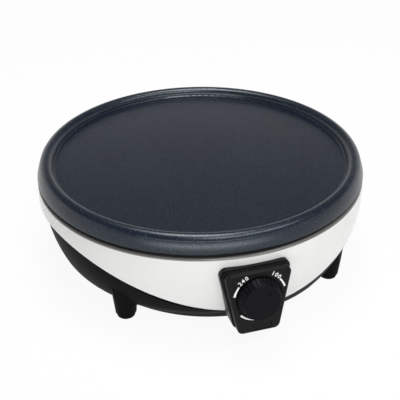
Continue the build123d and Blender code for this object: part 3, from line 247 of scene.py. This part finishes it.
def flake_group(name):
    """Mineral flakes sown in a dark coating with a fine orange-peel skin."""
    graph, given, made, place = new_group(
        name,
        [("Coating", (0.03, 0.04, 0.05)), ("Flake", (0.3, 0.3, 0.3)), ("Scale", 900.0),
         ("Share", 0.3), ("Skirt foot", 0.09), ("Skirt head", 0.1), ("Skirt radius", 0.1),
         ("Swell", 9.0)],
        [("Color", "Color"), ("Roughness", "Float"), ("Metallic", "Float"), ("Height", "Float")],
    )
    cells = graph.add("TexVoronoi")
    graph.link(place, cells.inputs["Vector"])
    graph.link(given["Scale"], cells.inputs["Scale"])
    chance = graph.add("SeparateColor")
    graph.link(cells.outputs["Color"], chance.inputs[0])
    edge = graph.maths("SUBTRACT", 1.0, given["Share"])
    flake = graph.span(chance.outputs[0], edge, 1.0, 0.0, 1.0)
    round_off = graph.span(cells.outputs["Distance"], 0.12, 0.45, 1.0, 0.0)
    flake = graph.maths("MULTIPLY", flake, round_off, clamp=True)
    skin = graph.noise(place, graph.maths("MULTIPLY", given["Scale"], 1.1), 3.0, 0.65)
    broad = graph.span(graph.noise(place, 14.0, 2.0), 0.3, 0.7, 0.85, 1.15)
    tint = graph.add("Mix", data_type="RGBA", blend_type="MULTIPLY")
    tint.inputs["Factor"].default_value = 1.0
    graph.link(given["Coating"], tint.inputs[6])
    graph.link(broad, tint.inputs[7])
    graph.link(graph.mix(flake, tint.outputs[2], given["Flake"]), made["Color"])
    graph.link(graph.span(skin, 0.3, 0.7, 0.22, 0.36), made["Roughness"])
    graph.link(graph.maths("MULTIPLY", flake, 0.6), made["Metallic"])
    skin = graph.maths("ADD", skin, graph.maths("MULTIPLY", flake, 0.3))
    height = graph.add("SeparateXYZ")
    graph.link(place, height.inputs[0])
    climb = graph.span(
        height.outputs["Z"], given["Skirt foot"], given["Skirt head"], -1.0, 1.0
    )
    swell = graph.maths("SUBTRACT", 1.0, graph.maths("MULTIPLY", climb, climb))
    centred = graph.add("Mapping")
    graph.link(place, centred.inputs["Vector"])
    centred.inputs["Location"].default_value = (0.0, -axis_y, 0.0)
    centred.inputs["Scale"].default_value = (1.0, 1.0, 0.0)
    reach = graph.add("VectorMath", operation="LENGTH")
    graph.link(centred.outputs[0], reach.inputs[0])
    outside = graph.maths("GREATER_THAN", reach.outputs["Value"], given["Skirt radius"])
    swell = graph.maths("MULTIPLY", graph.maths("MULTIPLY", swell, outside), given["Swell"])
    graph.link(graph.maths("ADD", graph.maths("MULTIPLY", skin, 0.6), swell), made["Height"])
    return graph.tree


def grain_group(name):
    """Spark-eroded grain of a moulding, with faint handling marks, and painted shade that darkens
    the colour above a given height.
    """
    graph, given, made, place = new_group(
        name,
        [("Color", (0.5, 0.5, 0.5)), ("Scale", 1500.0), ("Gloss", 0.4), ("Spread", 0.08),
         ("Band", (0.5, 0.5, 0.5)), ("Band foot", 10.0), ("Band full", 11.0)],
        [("Color", "Color"), ("Roughness", "Float"), ("Height", "Float")],
    )
    fine = graph.noise(place, given["Scale"], 3.0, 0.6)
    broad = graph.noise(place, 22.0, 4.0, 0.6)
    streak = graph.span(broad, 0.3, 0.7, -1.0, 1.0)
    rough = graph.maths("ADD", given["Gloss"], graph.maths("MULTIPLY", streak, given["Spread"]))
    rough = graph.maths("ADD", rough, graph.span(fine, 0.0, 1.0, -0.03, 0.03))
    graph.link(rough, made["Roughness"])
    height = graph.add("SeparateXYZ")
    graph.link(place, height.inputs[0])
    # painted shade: from the lower height up to the higher one the colour turns to the shade
    # colour
    band = graph.span(height.outputs["Z"], given["Band foot"], given["Band full"], 0.0, 1.0)
    shade = graph.add("Mix", data_type="RGBA", blend_type="MULTIPLY")
    shade.inputs["Factor"].default_value = 1.0
    graph.link(graph.mix(band, given["Color"], given["Band"]), shade.inputs[6])
    graph.link(graph.span(broad, 0.25, 0.75, 0.97, 1.02), shade.inputs[7])
    graph.link(shade.outputs[2], made["Color"])
    graph.link(fine, made["Height"])
    return graph.tree


def metal_group(name):
    """Drawn or turned metal with fine lines and a little tarnish."""
    graph, given, made, place = new_group(
        name,
        [("Color", (0.6, 0.6, 0.6)), ("Tarnish", (0.4, 0.38, 0.34)), ("Scale", 900.0),
         ("Gloss", 0.35)],
        [("Color", "Color"), ("Roughness", "Float"), ("Height", "Float")],
    )
    stretch = graph.add("Mapping")
    graph.link(place, stretch.inputs["Vector"])
    stretch.inputs["Scale"].default_value = (1.0, 1.0, 0.06)
    lines = graph.noise(stretch.outputs[0], given["Scale"], 3.0, 0.7)
    stain = graph.span(graph.noise(place, 60.0, 4.0, 0.65), 0.45, 0.75, 0.0, 0.7)
    graph.link(graph.mix(stain, given["Color"], given["Tarnish"]), made["Color"])
    graph.link(
        graph.maths("ADD", given["Gloss"], graph.span(lines, 0.2, 0.8, -0.1, 0.14)),
        made["Roughness"],
    )
    graph.link(lines, made["Height"])
    return graph.tree


def finished(name, group, inputs, bump, **plain):
    """Material from a group's inputs, the relief's (strength, distance) and shader values."""
    material = bpy.data.materials.new(name)
    material.use_nodes = True
    graph = Graph(material.node_tree)
    material.node_tree.nodes.clear()
    output = graph.add("OutputMaterial")
    shader = graph.add("BsdfPrincipled")
    graph.link(shader.outputs[0], output.inputs["Surface"])
    for label, value in plain.items():
        graph.feed(shader.inputs[label.replace("_", " ")], value)
    node = material.node_tree.nodes.new("ShaderNodeGroup")
    node.node_tree = group
    for label, value in inputs.items():
        graph.feed(node.inputs[label], value)
    pairs = (("Color", "Base Color"), ("Roughness", "Roughness"), ("Metallic", "Metallic"))
    for source, target in pairs:
        if source in node.outputs:
            graph.link(node.outputs[source], shader.inputs[target])
    relief = graph.add("Bump")
    strength, distance = bump
    relief.inputs["Strength"].default_value = strength
    relief.inputs["Distance"].default_value = distance
    graph.link(node.outputs["Height"], relief.inputs["Height"])
    graph.link(relief.outputs[0], shader.inputs["Normal"])
    material.diffuse_color = (*shader.inputs["Base Color"].default_value[:3], 1.0)
    return material


def dress(material, *names):
    """Give CAD nodes a material."""
    for name in names:
        mesh = frame["nodes"][name].data
        mesh.materials.clear()
        mesh.materials.append(material)


# ----------------------------------------------------------------------- operators
class CREPE_OT_plate(bpy.types.Operator):
    """Coat the cooking plate and blacken the seal under it"""

    bl_idname = "crepe.plate"
    bl_label = "Plate"

    flake_share = 0.25          # part of the coating's cells that hold a flake
    skirt_drop = 15.3 * MM      # from the plate's top down to the foot of the swell
    skirt_height = 11.0 * MM    # from there up to the swell's head
    skirt_depth = 6.0 * MM      # the swell stays this close to the rim's edge
    swell = 9.0                 # its height against the grain of the coating

    def execute(self, context):
        settings = context.scene.crepe_plate
        skirt_foot = plate_high[2] - self.skirt_drop
        coating = finished(
            "nonstick coating", shared("Flaked coating", flake_group),
            {"Coating": settings.coating, "Flake": settings.flake,
             "Scale": 1 / settings.flake_size, "Share": self.flake_share,
             "Skirt foot": skirt_foot, "Skirt head": skirt_foot + self.skirt_height,
             "Skirt radius": plate_high[0] - self.skirt_depth, "Swell": self.swell},
            (1.0, 0.06 * MM), Specular_IOR_Level=0.5, Specular_Tint=(0.88, 0.97, 1.0),
        )
        dress(coating, "cooking_plate")
        rubber = finished(
            "seal rubber", shared("Moulded grain", grain_group),
            {"Color": settings.seal, "Scale": 900.0, "Gloss": 0.7, "Spread": 0.05},
            (0.3, 0.05 * MM), Specular_IOR_Level=0.2,
        )
        dress(rubber, "heat_seal")
        return {"FINISHED"}


def add_piece(name, mesh, body, material):
    """New piece that rides on a body and wears the given material."""
    piece = bpy.data.objects.new(name, mesh)
    bpy.context.scene.collection.objects.link(piece)
    mesh.materials.clear()
    mesh.materials.append(material)
    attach(piece, body)
    return piece


SIDE_CURVE = 131.0 * MM                     # radius of the side's one arc in section
WIDEST_Z = shell_high[2] - 16.0 * MM        # height of that arc's centre
SIDE_CENTRE = shell_high[0] - SIDE_CURVE    # and its distance from the axis


def side_radius(z, inset=0.0):
    """Radius at a height of the curve that housing and base share, moved inward by inset."""
    return SIDE_CENTRE + sqrt((SIDE_CURVE - inset) ** 2 - (z - WIDEST_Z) ** 2)


def evenly(first, last, count):
    """Evenly spaced numbers from first to last."""
    return [first + (last - first) * i / (count - 1) for i in range(count)]


def spun(profile, centre, start, sweep, steps):
    """Closed section of (radius, height) turned about an upright axis."""
    shape = bmesh.new()
    out = Vector((sin(start), -cos(start), 0))
    verts = [shape.verts.new(centre + out * radius + Vector((0, 0, z))) for radius, z in profile]
    edges = [shape.edges.new(pair) for pair in zip(verts, verts[1:] + verts[:1])]
    full = abs(sweep - 2 * pi) < 0.001
    bmesh.ops.spin(
        shape, geom=verts + edges, cent=centre, axis=(0, 0, 1), angle=sweep, steps=steps,
        use_merge=full,
    )
    if not full:
        ends = [edge for edge in shape.edges if edge.is_boundary]
        bmesh.ops.edgeloop_fill(shape, edges=ends)
    return shape


def smooth_mesh(name, shape, angle):
    """Mesh of a shape, smooth apart from edges sharper than an angle."""
    bmesh.ops.recalc_face_normals(shape, faces=list(shape.faces))
    for face in shape.faces:
        face.smooth = True
    mesh = bpy.data.meshes.new(name)
    shape.to_mesh(mesh)
    shape.free()
    mesh.set_sharp_from_angle(angle=angle)
    return mesh


class CREPE_OT_housing(bpy.types.Operator):
    """Make the white upper shell with its apron, and finish it"""

    bl_idname = "crepe.housing"
    bl_label = "Upper housing"

    fillet = 2.0 * MM           # rounding of the shoulder
    flange_inset = 25.0 * MM    # the flange's inner edge, from the plate's rim
    hem = 0.6 * MM              # bevel of the lower edge
    rows, steps = 15, 264       # down each side of the wall, and round the shell
    band_foot, band_full = 2.0 * MM, 1.5 * MM   # where the shoulder's painted shade starts and is full
    boss_top, boss_foot = 2.0 * MM, 33.0 * MM   # all four are measured from the shell's top
    boss_turns = (45, 135, 225, 315)            # degrees round from the front
    boss_inset = 19.1 * MM      # the bosses' middles, from the widest part of the side
    boss_bore, boss_radius, boss_steps = 2.1 * MM, 6.0 * MM, 32

    def section(self, wall, low):
        """Wall with the shoulder's rounding on top and a flange inside."""
        top, fillet = shell_high[2], self.fillet
        flange = plate_high[0] - self.flange_inset
        corner = side_radius(top - fillet) - fillet
        shoulder = [
            (corner + fillet * cos(turn), top - fillet + fillet * sin(turn))
            for turn in map(radians, range(90, -1, -15))
        ]
        outer = [(side_radius(z), z) for z in evenly(top - 2 * fillet, low, self.rows)]
        inner = [(side_radius(z, wall), z) for z in evenly(low, top - 2 * fillet, self.rows)]
        root = side_radius(top - wall, wall)
        return [(flange, top), *shoulder, *outer, *inner, (root, top - wall), (flange, top - wall)]

    def lower_edge(self, settings, turn):
        """Height of the apron's edge, a cosine between its lowest point and the level edge."""
        share = min(1.0, abs(turn - settings.apron_turn) / settings.apron_reach)
        return settings.apron_low + settings.apron_rise * (1 - cos(pi * share)) / 2

    def shell(self, settings):
        """Section turned once round, its side squeezed upward to the apron's edge."""
        low, high = settings.apron_low, shell_high[2] - 2 * self.fillet
        shape = spun(self.section(settings.wall, low), axis, 0.0, 2 * pi, self.steps)
        rim = {vertex for vertex in shape.verts if vertex.co.z < low + TINY}
        for vertex in shape.verts:
            z = vertex.co.z
            if z > high:
                continue
            out = vertex.co.xy - axis.xy
            turn = atan2(out.x, -out.y)
            inset = 0.0 if out.length > side_radius(z, settings.wall / 2) else settings.wall
            reached = high - (high - z) / (high - low) * (high - self.lower_edge(settings, turn))
            out = out.normalized() * side_radius(reached, inset)
            vertex.co = (axis.x + out.x, axis.y + out.y, reached)
        round_edges = [
            edge for edge in shape.edges
            if set(edge.verts) <= rim and abs(
                (edge.verts[0].co.xy - axis.xy).length - (edge.verts[1].co.xy - axis.xy).length
            ) < settings.wall / 2
        ]
        bmesh.ops.bevel(
            shape, geom=round_edges, affect="EDGES", offset=self.hem, segments=2,
            profile=0.5, material=-1, loop_slide=True,
        )
        return shape

    def bosses(self, shape):
        """Four screw bosses that hang from the flange inside the shell."""
        mesh = bpy.data.meshes.new("bosses")
        reach = side_radius(WIDEST_Z) - self.boss_inset
        top, foot = shell_high[2] - self.boss_top, shell_high[2] - self.boss_foot
        ring = [
            (self.boss_bore, foot), (self.boss_radius, foot),
            (self.boss_radius, top), (self.boss_bore, top),
        ]
        for turn in map(radians, self.boss_turns):
            centre = axis + Vector((sin(turn), -cos(turn), 0)) * reach
            boss = spun(ring, centre, 0.0, 2 * pi, self.boss_steps)
            boss.to_mesh(mesh)
            boss.free()
            shape.from_mesh(mesh)
        bpy.data.meshes.remove(mesh)

    def execute(self, context):
        settings = context.scene.crepe_housing
        # The white moulding turns to the shoulder colour just below the shell's top: painted shade
        # standing in for the rim's shadow
        white = finished(
            "white moulding", shared("Moulded grain", grain_group),
            {"Color": settings.white, "Scale": 500.0, "Gloss": 0.2, "Spread": 0.05,
             "Band": settings.shoulder, "Band foot": shell_high[2] - self.band_foot,
             "Band full": shell_high[2] - self.band_full},
            (0.03, 0.05 * MM), Coat_Weight=0.3, Coat_Roughness=0.1,
        )
        dress(white, "housing_shell")
        shape = self.shell(settings)
        self.bosses(shape)
        mesh = smooth_mesh("upper_housing", shape, radians(35))
        piece = add_piece("upper_housing", mesh, "root", white)
        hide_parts("housing_shell")
        return {"FINISHED"}


class CREPE_OT_base(bpy.types.Operator):
    """Finish the black base, its feet and the cord gland, and fill out its front"""

    bl_idname = "crepe.base"
    bl_label = "Base"

    thick = 1.2 * MM            # of the belly's wall
    top_drop = 2.0 * MM         # the belly's upper edge, below the widest part of the side
    hem_radius, hem_height = 96.0 * MM, 9.6 * MM        # inner edge of the underside
    side_rows, corner_rows, steps = 24, 12, 180
    off_axis = Vector((5.4, -8.6, 0)) * MM              # belly's own axis from the plate's
    left, right = radians(-75), radians(125)            # its two ends, round that axis
    left_fade, right_fade = radians(30), radians(60)    # length of each end's fading
    fade_top, fade_height = 45.0 * MM, 33.0 * MM        # from here down the ends fade more
    draw_in, draw_more, lift = 2.0, 10.0, 6.0           # inward, more when low, and up, in mm

    def section(self, settings):
        """Side, rounded corner and slightly coned underside, with an inner face."""
        z = settings.belly_bottom + settings.belly_corner
        reach = side_radius(z, settings.belly_inset + settings.belly_corner)
        first = atan2(z - WIDEST_Z, reach - SIDE_CENTRE)
        turns = evenly(first, -pi / 2, self.corner_rows)
        loops = []
        for depth in (0.0, self.thick):
            inset = settings.belly_inset + depth
            corner = settings.belly_corner - depth
            round_off = [(reach + corner * cos(t), z + corner * sin(t)) for t in turns]
            rows = evenly(WIDEST_Z - self.top_drop, round_off[0][1], self.side_rows)
            side = [(side_radius(row, inset), row) for row in rows[:-1]]
            loops.append([*side, *round_off, (self.hem_radius, self.hem_height + depth)])
        return loops[0] + loops[1][::-1]

    def belly(self, settings):
        """Section turned round the front, drawn into the base towards both ends."""
        centre = axis + self.off_axis
        sweep = self.right - self.left
        shape = spun(self.section(settings), centre, self.left, sweep, self.steps)
        for vertex in shape.verts:
            out = vertex.co.xy - centre.xy
            turn = atan2(out.x, -out.y)
            share = min(
                1.0, (turn - self.left) / self.left_fade, (self.right - turn) / self.right_fade
            )
            depth = (1 + cos(pi * share)) / 2
            low = min(1.0, max(0.0, (self.fade_top - vertex.co.z) / self.fade_height))
            inward = depth * (self.draw_in + self.draw_more * low) * MM
            upward = depth * self.lift * low * MM
            out = out.normalized() * (out.length - inward)
            vertex.co = (centre.x + out.x, centre.y + out.y, vertex.co.z + upward)
        return shape

    def execute(self, context):
        settings = context.scene.crepe_housing
        grain = shared("Moulded grain", grain_group)
        black = finished(
            "black moulding", grain,
            {"Color": settings.black, "Scale": 1600.0, "Gloss": 0.5, "Spread": 0.06},
            (0.25, 0.06 * MM), Specular_IOR_Level=0.02,
        )
        dress(black, "base_shell")
        sole = finished(
            "sole rubber", grain,
            {"Color": settings.sole, "Scale": 1100.0, "Gloss": 0.75, "Spread": 0.05},
            (0.35, 0.08 * MM), Specular_IOR_Level=0.05,
        )
        pads = [name for name in frame["nodes"] if name.startswith("foot_pad")]
        dress(sole, "cord_gland", *pads)
        mesh = smooth_mesh("base_front", self.belly(settings), radians(40))
        add_piece("base_front", mesh, "root", black)
        return {"FINISHED"}


class CREPE_OT_panel(bpy.types.Operator):
    """Finish the control panel, the lamp window and the knob"""

    bl_idname = "crepe.panel"
    bl_label = "Panel and knob"

    def execute(self, context):
        settings = context.scene.crepe_dial
        grain = shared("Moulded grain", grain_group)
        panel = finished(
            "panel moulding", grain,
            {"Color": settings.panel, "Scale": 2200.0, "Gloss": 0.42, "Spread": 0.05},
            (0.2, 0.04 * MM), Specular_IOR_Level=0.15,
        )
        dress(panel, "panel_frame", "panel_face")
        knob = finished(
            "knob moulding", grain,
            {"Color": settings.knob, "Scale": 1800.0, "Gloss": 0.4, "Spread": 0.06},
            (0.15, 0.04 * MM), Specular_IOR_Level=0.08,
        )
        dress(knob, "knob")
        lens = finished(
            "smoked window", grain,
            {"Color": (0.0045, 0.003, 0.003), "Scale": 700.0, "Gloss": 0.25, "Spread": 0.03},
            (0.02, 0.02 * MM), Specular_IOR_Level=0.14,
        )
        dress(lens, "lamp_lens")
        return {"FINISHED"}


def dial_place(angle, radius, height):
    """Matrix of a spot on the dial: X clockwise, Y outward, Z off the face."""
    out = Vector((1, 0, 0)) * cos(angle) + dial_up * sin(angle)
    across = Vector((1, 0, 0)) * sin(angle) - dial_up * cos(angle)
    spot = dial_centre + out * radius + dial_normal * height
    matrix = Matrix((across, out, dial_normal)).transposed().to_4x4()
    matrix.translation = spot
    return matrix


def figure_mesh(text, size, weight, thickness):
    """Mesh of one printed figure, centred on its baseline."""
    curve = bpy.data.curves.new("figure", "FONT")
    curve.body = text
    curve.size = size
    curve.align_x = "CENTER"
    curve.extrude = thickness / 2
    curve.offset = weight
    curve.resolution_u = 4
    source = bpy.data.objects.new("figure", curve)
    bpy.context.scene.collection.objects.link(source)
    bpy.context.view_layer.update()
    mesh = bpy.data.meshes.new_from_object(source.evaluated_get(
        bpy.context.evaluated_depsgraph_get()))
    bpy.data.objects.remove(source)
    return mesh


class CREPE_OT_print(bpy.types.Operator):
    """Print the dial's arcs and its two numbers"""

    bl_idname = "crepe.print"
    bl_label = "Dial print"

    arcs = (            # start and end angle, middle radius, start and end width, in mm
        (141.5, 167.0, 22.9, 1.5, 2.2),
        (39.5, 17.0, 24.3, 1.4, 1.6),
        (-139.0, -99.0, 22.3, 2.1, 0.15),
    )
    marks = (           # which number, middle angle, degrees per figure, baseline radius in mm
        ("high", 126.0, 8.6, 22.6),
        ("low", 52.0, 8.0, 23.6),
    )
    steps = 24          # along each arc

    def arc(self, start, end, radius, start_width, end_width, height, thickness):
        """Flat tapered band that follows the dial, with a real thickness."""
        mesh = bpy.data.meshes.new("arc")
        shape = bmesh.new()
        inner = shape.verts.new((0, (radius - start_width / 2) * MM, 0))
        outer = shape.verts.new((0, (radius + start_width / 2) * MM, 0))
        edge = shape.edges.new((inner, outer))
        turn = radians(end - start)
        bmesh.ops.spin(
            shape, geom=[inner, outer, edge], cent=(0, 0, 0), axis=(0, 0, 1), angle=turn,
            steps=self.steps, use_merge=False,
        )
        for vertex in shape.verts:
            reached = Vector((0, 1)).angle_signed(vertex.co.to_2d().normalized(), 0)
            share = abs(reached / turn)
            width = start_width + (end_width - start_width) * share
            side = 1 if vertex.co.to_2d().length > radius * MM else -1
            direction = vertex.co.normalized()
            vertex.co = direction * (radius + side * width / 2) * MM
        faces = bmesh.ops.extrude_face_region(shape, geom=list(shape.faces))["geom"]
        raised = [g for g in faces if isinstance(g, bmesh.types.BMVert)]
        bmesh.ops.translate(shape, verts=raised, vec=(0, 0, thickness))
        bmesh.ops.recalc_face_normals(shape, faces=list(shape.faces))
        place = dial_place(radians(start), 0, height)
        bmesh.ops.transform(shape, matrix=place, verts=list(shape.verts))
        shape.to_mesh(mesh)
        shape.free()
        return mesh

    def execute(self, context):
        settings = context.scene.crepe_dial
        ink = finished(
            "dial ink", shared("Moulded grain", grain_group),
            {"Color": settings.ink, "Scale": 3000.0, "Gloss": 0.5, "Spread": 0.08},
            (0.1, 0.02 * MM),
        )
        face = dial_height("panel_face") - TINY
        for index, values in enumerate(self.arcs):
            mesh = self.arc(*values, face, settings.ink_height)
            add_piece(f"dial_arc_{index + 1}", mesh, "root", ink)
        middle_height = face + settings.ink_height / 2
        for name, middle, pitch, radius in self.marks:
            text = getattr(settings, f"{name}_mark")
            for index, figure in enumerate(text):
                mesh = figure_mesh(
                    figure, settings.figure_size, settings.figure_weight, settings.ink_height
                )
                angle = middle + pitch * ((len(text) - 1) / 2 - index)
                mesh.transform(dial_place(radians(angle), radius * MM, middle_height))
                add_piece(f"dial_{name}_{index + 1}", mesh, "root", ink)
        return {"FINISHED"}


class CREPE_OT_inside(bpy.types.Operator):
    """Finish the pieces inside: element, thermostat, leads, clamps and screws"""

    bl_idname = "crepe.inside"
    bl_label = "Inner pieces"

    metals = {
        "zinc plated steel": ((0.62, 0.63, 0.62), (0.5, 0.49, 0.45), 0.34, (
            "housing_screws", "plate_screws", "plate_washers", "plate_spacers", "face_screws",
            "bracket_screws", "clamp_screws", "thermostat_bracket", "spindle", "stack_rivet",
            "element_clips", "earth_tag", "earth_screw", "thermal_fuse")),
        "spring steel": ((0.45, 0.46, 0.48), (0.32, 0.3, 0.28), 0.28, (
            "spindle_clip", "moving_leaf", "bimetal_strip", "fuse_clip")),
        "aluminised sheet": ((0.72, 0.73, 0.74), (0.6, 0.59, 0.57), 0.3, ("reflector",)),
        "heat tinted tube": ((0.26, 0.24, 0.23), (0.33, 0.24, 0.16), 0.42, ("heating_element",)),
        "turned brass": ((0.72, 0.53, 0.25), (0.45, 0.31, 0.13), 0.3, (
            "thermostat_bush", "bush_nut", "terminal_screws", "fixed_leaf")),
    }
    mouldings = {
        "steatite": ((0.8, 0.78, 0.72), 0.6, ("element_beads", "stack_washers", "adjusting_pin")),
        "terminal plastic": ((0.7, 0.69, 0.64), 0.45, ("terminal_block", "cord_clamp")),
        "brown insulation": ((0.14, 0.06, 0.03), 0.5, ("lead_live",)),
        "white braid": ((0.72, 0.71, 0.67), 0.8, ("lead_switched", "lead_fused")),
        "blue insulation": ((0.03, 0.08, 0.3), 0.5, ("lead_neutral",)),
        "green insulation": ((0.06, 0.28, 0.05), 0.5, ("lead_earth",)),
        "lamp glass": ((0.8, 0.42, 0.25), 0.1, ("indicator_lamp",)),
    }

    def execute(self, context):
        metal = shared("Worked metal", metal_group)
        for name, (shade, tarnish, gloss, nodes) in self.metals.items():
            material = finished(
                name, metal,
                {"Color": shade, "Tarnish": tarnish, "Scale": 900.0, "Gloss": gloss},
                (0.15, 0.03 * MM), Metallic=1.0,
            )
            dress(material, *nodes)
        grain = shared("Moulded grain", grain_group)
        for name, (shade, gloss, nodes) in self.mouldings.items():
            material = finished(
                name, grain,
                {"Color": shade, "Scale": 1300.0, "Gloss": gloss, "Spread": 0.06},
                (0.2, 0.04 * MM),
            )
            dress(material, *nodes)
        return {"FINISHED"}


class CREPE_OT_stage(bpy.types.Operator):
    """Set up the camera, the pale floor and the soft studio light"""

    bl_idname = "crepe.stage"
    bl_label = "Studio"

    # name, degrees round from the front, rise, distance, width and height in metres, watts
    lamps = (
        ("key light", 2.0, 58.0, 1.5, 0.5, 0.5, 6.0),
        ("fill light", 50.0, 56.0, 1.8, 0.7, 0.7, 6.5),
        ("front light", -12.0, 7.5, 1.9, 3.0, 0.32, 15.5),
        ("overhead light", 175.0, 80.0, 1.6, 0.75, 0.75, 17.0),
    )
    lamp_aim = Vector((0, axis_y, 0.08))
    rim_centre = Vector((0, axis_y, 102.8 * MM))
    yaw = radians(-0.04)        # the camera looks this far to the side of the rim's centre
    floor_radius, floor_steps = 4.0, 96
    floor_edge = ((0.6, 0.15), (0.4, 0.45), (0.1, 1.6))     # out and up in metres, ring by ring

    def camera(self, settings):
        """Camera at its distance from the rim's centre, with its own yaw, pitch and roll."""
        data = bpy.data.cameras.new("camera")
        data.lens = settings.lens
        data.sensor_width = 36.0
        data.clip_start = 0.01
        holder = bpy.data.objects.new("camera", data)
        bpy.context.scene.collection.objects.link(holder)
        turn = Matrix.Rotation(settings.turn, 4, "Z")
        back = Vector((0, -cos(settings.rise), sin(settings.rise))) * settings.distance
        level = cos(settings.pitch)
        forward = Vector((sin(self.yaw) * level, cos(self.yaw) * level, -sin(settings.pitch)))
        right = Vector((cos(self.yaw), -sin(self.yaw), 0))
        up = right.cross(forward)
        tilt_right = cos(settings.roll) * right + sin(settings.roll) * up
        tilt_up = -sin(settings.roll) * right + cos(settings.roll) * up
        axes = Matrix((tilt_right, tilt_up, -forward)).transposed().to_4x4()
        holder.matrix_world = Matrix.Translation(self.rim_centre + turn @ back) @ turn @ axes
        bpy.context.scene.camera = holder

    def floor(self, settings):
        """Round floor whose edge turns up, in white paper that keeps a faint shadow."""
        mesh = bpy.data.meshes.new("floor")
        shape = bmesh.new()
        bmesh.ops.create_circle(
            shape, cap_ends=True, segments=self.floor_steps, radius=self.floor_radius
        )
        rim = [edge for edge in shape.edges if edge.is_boundary]
        for out, up in self.floor_edge:
            raised = bmesh.ops.extrude_edge_only(shape, edges=rim)["geom"]
            verts = [g for g in raised if isinstance(g, bmesh.types.BMVert)]
            radius = verts[0].co.to_2d().length
            bmesh.ops.scale(shape, vec=[(radius + out) / radius] * 2 + [1], verts=verts)
            bmesh.ops.translate(shape, vec=(0, 0, up), verts=verts)
            rim = [g for g in raised if isinstance(g, bmesh.types.BMEdge)]
        for face in shape.faces:
            face.smooth = True
        shape.to_mesh(mesh)
        shape.free()
        sweep = bpy.data.objects.new("floor", mesh)
        bpy.context.scene.collection.objects.link(sweep)
        paper = finished(
            "floor paper", shared("Moulded grain", grain_group),
            {"Color": settings.floor, "Scale": 300.0, "Gloss": 0.9, "Spread": 0.03},
            (0.02, 0.05 * MM),
        )
        graph = Graph(paper.node_tree)
        output = paper.node_tree.nodes["Material Output"]
        surface = output.inputs["Surface"].links[0].from_socket
        path = graph.add("LightPath").outputs
        seen = graph.maths("MAXIMUM", path["Is Camera Ray"], path["Is Glossy Ray"])
        seen = graph.maths("MAXIMUM", seen, path["Is Transmission Ray"])
        white = graph.add("Emission")
        blend = graph.add("MixShader")
        graph.link(graph.maths("MULTIPLY", seen, settings.whiteness), blend.inputs["Fac"])
        graph.link(surface, blend.inputs[1])
        graph.link(white.outputs[0], blend.inputs[2])
        graph.link(blend.outputs[0], output.inputs["Surface"])
        mesh.materials.append(paper)

    def world(self, settings):
        """Plain white light from all round."""
        world = bpy.data.worlds.new("studio")
        world.use_nodes = True
        light = world.node_tree.nodes["Background"]
        light.inputs["Color"].default_value = (1, 1, 1, 1)
        light.inputs["Strength"].default_value = settings.ambient
        bpy.context.scene.world = world

    def lamp(self, name, turn, rise, distance, width, height, power):
        """Oval area lamp that faces the object."""
        data = bpy.data.lights.new(name, "AREA")
        data.shape = "ELLIPSE"
        data.size, data.size_y = width, height
        data.energy = power
        holder = bpy.data.objects.new(name, data)
        bpy.context.scene.collection.objects.link(holder)
        a, e = radians(turn), radians(rise)
        back = Vector((sin(a) * cos(e), -cos(a) * cos(e), sin(e)))
        holder.location = self.lamp_aim + back * distance
        holder.rotation_mode = "QUATERNION"
        holder.rotation_quaternion = back.to_track_quat("Z", "Y")

    def execute(self, context):
        settings = context.scene.crepe_stage
        self.camera(settings)
        self.floor(settings)
        self.world(settings)
        for values in self.lamps:
            self.lamp(*values)
        context.scene.view_settings.view_transform = "Standard"
        return {"FINISHED"}


class CREPE_PT_panel(bpy.types.Panel):
    """Lists the settings and the steps"""

    bl_idname = "CREPE_PT_panel"
    bl_label = "Crepe maker"
    bl_space_type = "VIEW_3D"
    bl_region_type = "UI"
    bl_category = "Crepe maker"

    def draw(self, context):
        for name, group in SETTINGS.items():
            box = self.layout.box()
            for label in group.__annotations__:
                box.prop(getattr(context.scene, name), label)
        for step in STEPS:
            self.layout.operator(step.bl_idname)


STEPS = (
    CREPE_OT_plate,
    CREPE_OT_housing,
    CREPE_OT_base,
    CREPE_OT_panel,
    CREPE_OT_print,
    CREPE_OT_inside,
    CREPE_OT_stage,
)
CLASSES = (*SETTINGS.values(), *STEPS, CREPE_PT_panel)


def register():
    for item in CLASSES:
        bpy.utils.register_class(item)
    for name, group in SETTINGS.items():
        setattr(bpy.types.Scene, name, PointerProperty(type=group))


def unregister():
    for name in SETTINGS:
        delattr(bpy.types.Scene, name)
    for item in reversed(CLASSES):
        bpy.utils.unregister_class(item)


def main():
    register()
    for step in STEPS:
        space, name = step.bl_idname.split(".")
        getattr(getattr(bpy.ops, space), name)()


if __name__ == "__main__":
    main()
